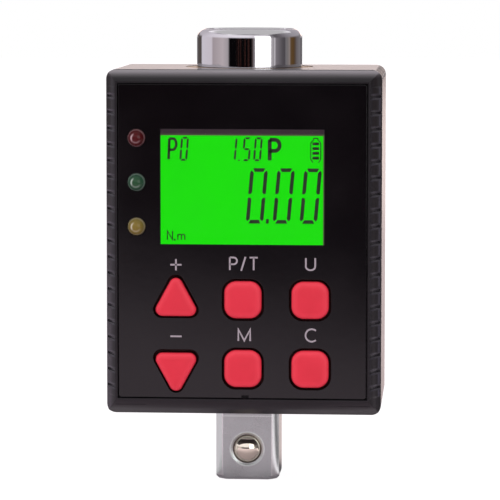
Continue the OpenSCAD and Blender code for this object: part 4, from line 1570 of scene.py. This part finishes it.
@dataclass(frozen=True)
class Studio:
    """The floor, the lights, what the glossy surfaces reflect, and the camera.

    The stops of cards, room and skirt run once round the shaft, from the back by -X, the front and +X. The
    fields that end in turn are degrees from the front, and those with rise are heights of a direction, from
    -1 to 1.
    """

    camera_at: Point = (41.21, -601.33, 104.26)
    yaw: float = -3.793
    pitch: float = -4.849
    roll: float = 0.06
    lens: float = 214.86
    shift: Flat = (-0.01226, -0.07002)
    floor_half: float = 2600.0
    floor_dark: float = -450.0
    floor_pale: float = -150.0
    floor_lean: float = -1.6
    cards_turn: Flat = (66.0, 74.0)
    open_r: Flat = (550.0, 750.0)
    paper: Colour = (0.88, 0.745, 0.82)
    paper_dark: Colour = (0.03, 0.022, 0.028)
    cards: Stops = (
        (0.0, (1.1, 0.9, 0.88)), (0.06, (1.1, 0.9, 0.88)), (0.1, (0.52, 0.44, 0.53)),
        (0.19, (0.52, 0.44, 0.53)), (0.21, (0.66, 0.6, 0.64)), (0.275, (0.72, 0.65, 0.7)),
        (0.29, (0.5, 0.48, 0.5)), (0.69, (1.25, 1.13, 1.2)), (0.71, (1.25, 1.13, 1.2)),
        (0.722, (0.14, 0.135, 0.14)), (0.742, (0.18, 0.17, 0.18)), (0.757, (0.88, 0.79, 0.85)),
        (0.8, (0.92, 0.83, 0.89)), (0.815, (0.12, 0.11, 0.12)), (0.9, (0.12, 0.11, 0.12)),
        (0.94, (1.1, 0.9, 0.88)),
    )
    room: Stops = (
        (0.0, (1.75, 1.44, 1.35)), (0.05, (1.75, 1.44, 1.35)), (0.06, (0.1, 0.085, 0.08)),
        (0.143, (0.1, 0.085, 0.08)), (0.153, (0.74, 0.7, 0.77)), (0.256, (0.73, 0.67, 0.73)),
        (0.266, (0.45, 0.39, 0.41)), (0.34, (0.58, 0.51, 0.53)), (0.376, (0.45, 0.41, 0.43)),
        (0.386, (0.003, 0.0025, 0.003)), (0.522, (0.003, 0.0025, 0.003)), (0.53, (0.1, 0.07, 0.07)),
        (0.54, (0.35, 0.33, 0.35)), (0.636, (0.75, 0.71, 0.74)), (0.655, (0.44, 0.42, 0.44)),
        (0.661, (0.3, 0.28, 0.3)), (0.665, (0.66, 0.63, 0.66)), (0.67, (0.66, 0.63, 0.66)),
        (0.675, (0.24, 0.22, 0.24)), (0.724, (0.11, 0.1, 0.11)), (0.744, (0.09, 0.08, 0.09)),
        (0.75, (0.2, 0.19, 0.2)), (0.768, (0.22, 0.2, 0.2)), (0.785, (0.32, 0.27, 0.25)),
        (0.794, (0.14, 0.085, 0.04)), (0.82, (0.12, 0.065, 0.022)), (0.84, (0.1, 0.07, 0.05)),
        (0.86, (0.16, 0.14, 0.145)), (0.94, (0.27, 0.26, 0.27)), (0.952, (1.75, 1.44, 1.35)),
    )
    skirt: Stops = (
        (0.0, (0.5, 0.47, 0.51)), (0.12, (0.6, 0.56, 0.61)), (0.23, (0.8, 0.75, 0.82)),
        (0.42, (1.0, 0.95, 1.02)), (0.5, (1.0, 0.95, 1.02)), (0.58, (0.7, 0.66, 0.71)),
        (0.64, (0.35, 0.33, 0.36)), (0.68, (0.12, 0.11, 0.12)), (0.73, (0.2, 0.18, 0.2)),
        (0.82, (0.38, 0.36, 0.39)), (1.0, (0.5, 0.47, 0.51)),
    )
    behind_turn: Flat = (145.0, 158.0)
    streaks_turn: Flat = (-26.0, 5.0)
    skirt_rise: Flat = (0.05, 0.26)
    skirt_rise_behind: Flat = (0.12, 0.26)
    ceiling_rise: Flat = (0.62, 0.76)
    level_rise: Flat = (-0.004, 0.031)
    below_rise: Flat = (-0.039, -0.004)
    ceiling: Colour = (0.06, 0.05, 0.06)
    streaks: Colour = (0.085, 0.032, 0.026)
    level_tone: Colour = (0.5, 0.47, 0.5)
    below_tone: Colour = (0.14, 0.13, 0.14)
    shaded: Colour = (0.34, 0.33, 0.34)
    lit: Colour = (1.2, 1.18, 1.2)
    softboxes: tuple[tuple[str, Point, Point, Flat, float], ...] = (
        ("top_softbox", (0.0, 60.0, 760.0), (0.0, 20.0, 40.0), (1300.0, 1300.0), 3.0),
        ("side_softbox", (552.0, -835.0, 190.0), (0.0, 0.0, 60.0), (640.0, 900.0), 2.8),
    )

    def build(self) -> None:
        """Builds the whole studio."""
        self._camera()
        self._floor()
        self._surroundings()
        for softbox in self.softboxes:
            self._lamp(*softbox)

    def _camera(self) -> None:
        """Sets the camera at the photo's angle."""
        yaw, pitch, roll = (math.radians(turn) for turn in (self.yaw, self.pitch, self.roll))
        ahead = Vector((math.sin(yaw) * math.cos(pitch), math.cos(yaw) * math.cos(pitch), math.sin(pitch)))
        right = ahead.cross(Vector((0.0, 0.0, 1.0))).normalized()
        right = right * math.cos(roll) + right.cross(ahead) * math.sin(roll)
        up = right.cross(ahead)
        data = bpy.data.cameras.new("camera")
        data.lens = self.lens
        data.sensor_width = 36.0
        data.shift_x, data.shift_y = self.shift
        data.clip_end = 20.0
        camera = bpy.data.objects.new("camera", data)
        rows = [(right[i], up[i], -ahead[i], self.camera_at[i] * MM) for i in range(3)]
        camera.matrix_world = Matrix((*rows, (0.0, 0.0, 0.0, 1.0)))
        bpy.context.scene.collection.objects.link(camera)
        bpy.context.scene.camera = camera

    def _lamp(self, name: str, at: Point, aim: Point, size: Flat, power: float) -> None:
        """Adds a soft rectangular light.

        Args:
            name: Its name.
            at: Where it stands.
            aim: The point that it faces.
            size: Its width and height.
            power: Its power in watts.
        """
        data = bpy.data.lights.new(name, "AREA")
        data.shape = "RECTANGLE"
        data.size, data.size_y = (side * MM for side in size)
        data.energy = power
        lamp = bpy.data.objects.new(name, data)
        lamp.location = Vector(at) * MM
        lamp.rotation_euler = (Vector(aim) - Vector(at)).to_track_quat("-Z", "Y").to_euler()
        bpy.context.scene.collection.objects.link(lamp)

    def _floor(self) -> None:
        """Adds the pale floor, with cards that only glossy surfaces see."""
        half = self.floor_half * MM
        corners = [(x * half, y * half, 0.0) for x, y in ((-1, -1), (1, -1), (1, 1), (-1, 1))]
        mesh = bpy.data.meshes.new("floor")
        mesh.from_pydata(corners, [], [(0, 1, 2, 3)])
        floor = bpy.data.objects.new("floor", mesh)
        bpy.context.scene.collection.objects.link(floor)
        material = bpy.data.materials.new("floor_paper")
        material.use_nodes = True
        graph = Graph(material.node_tree)
        x, y, _ = graph.spot()
        path = graph.node("LightPath").outputs
        seen, glossy = (Signal(graph, path[name]) for name in ("Is Camera Ray", "Is Glossy Ray"))
        near = (y + x * self.floor_lean).ramp(self.floor_dark, self.floor_pale)
        paper = graph.surface({
            "Base Color": graph.tone(self.paper_dark, (near, self.paper)),
            "Roughness": 0.8 + graph.noise(4.0) * 0.1,
            "Specular IOR Level": 0.1,
        })
        glow = graph.node("Emission", {"Color": WHITE, "Strength": 1.25}).outputs[0]
        turn = x.turn_from(y * -1.0)
        card = graph.surface({
            "Base Color": BLACK,
            "Roughness": 1.0,
            "Specular IOR Level": 0.0,
            "Emission Color": graph.node("ValToRGB", {0: turn / 360 + 0.5}, stops=self.cards).outputs[0],
            "Emission Strength": 1.0,
        })
        open_air = graph.node("BsdfTransparent").outputs[0]
        aside = turn.absolute().ramp(*self.cards_turn) * glossy
        far = x.distance(y).ramp(*self.open_r) * glossy
        whole = paper
        for share, upper in ((seen * 0.76, glow), (aside, card), (far, open_air)):
            whole = graph.node("MixShader", {0: share, 1: whole, 2: upper}).outputs[0]
        graph.node("OutputMaterial", {"Surface": whole})
        mesh.materials.append(material)

    def _surroundings(self) -> None:
        """Lights the object from all round, and gives glossy surfaces dark and bright zones to reflect."""
        world = bpy.data.worlds.new("studio")
        bpy.context.scene.world = world
        world.use_nodes = True
        graph = Graph(world.node_tree)
        x, y, z = graph.split(graph.node("TexCoord").outputs["Generated"])
        turn = x.turn_from(y * -1.0)
        room, skirt = (
            graph.node("ValToRGB", {0: turn / 360 + 0.5}, stops=stops).outputs[0]
            for stops in (self.room, self.skirt)
        )
        fine = graph.node("TexNoise", {"W": turn * 0.12, "Detail": 1.0}, noise_dimensions="1D")
        streak = Signal(graph, fine.outputs[0]).ramp(0.56, 0.66) * turn.band(*self.streaks_turn, 4.0)
        behind = turn.absolute().ramp(*self.behind_turn)
        high = z.ramp(*self.skirt_rise) * (1 - behind) + z.ramp(*self.skirt_rise_behind) * behind
        around = graph.tone(
            room,
            (streak, self.streaks),
            (behind * z.band(*self.level_rise, 0.006), self.level_tone),
            (behind * z.band(*self.below_rise, 0.006), self.below_tone),
            (high, graph.tone(skirt, (z.ramp(*self.ceiling_rise), self.ceiling))),
        )
        key_side = (x * -0.6 + y * -0.75 + z * 0.15).ramp(-0.3, 1.0, "LINEAR")
        path = graph.node("LightPath").outputs
        seen, glossy, passed = (
            Signal(graph, path[f"Is {kind} Ray"]) for kind in ("Camera", "Glossy", "Transmission")
        )
        colour = graph.tone(
            self.shaded, (key_side, self.lit), (glossy.maximum(passed), around), (seen, WHITE)
        )
        back = graph.node("Background", {"Color": colour, "Strength": 1.0}).outputs[0]
        graph.node("OutputWorld", {"Surface": back})


def main() -> None:
    """Builds the looks and finishes the scene."""
    logging.basicConfig(level=logging.INFO, format="%(name)s: %(message)s")
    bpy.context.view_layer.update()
    for part in (
        CaseShells(), FrontPanel(), Display(), Keypad(), Lamps(), Electronics(), TorqueShaft(), Detent(),
        BatteryPack(), Fasteners(), Studio(),
    ):
        part.build()
    bpy.context.view_layer.update()
    bpy.context.scene.view_settings.view_transform = "Standard"


if __name__ == "__main__":
    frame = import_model()
    main()
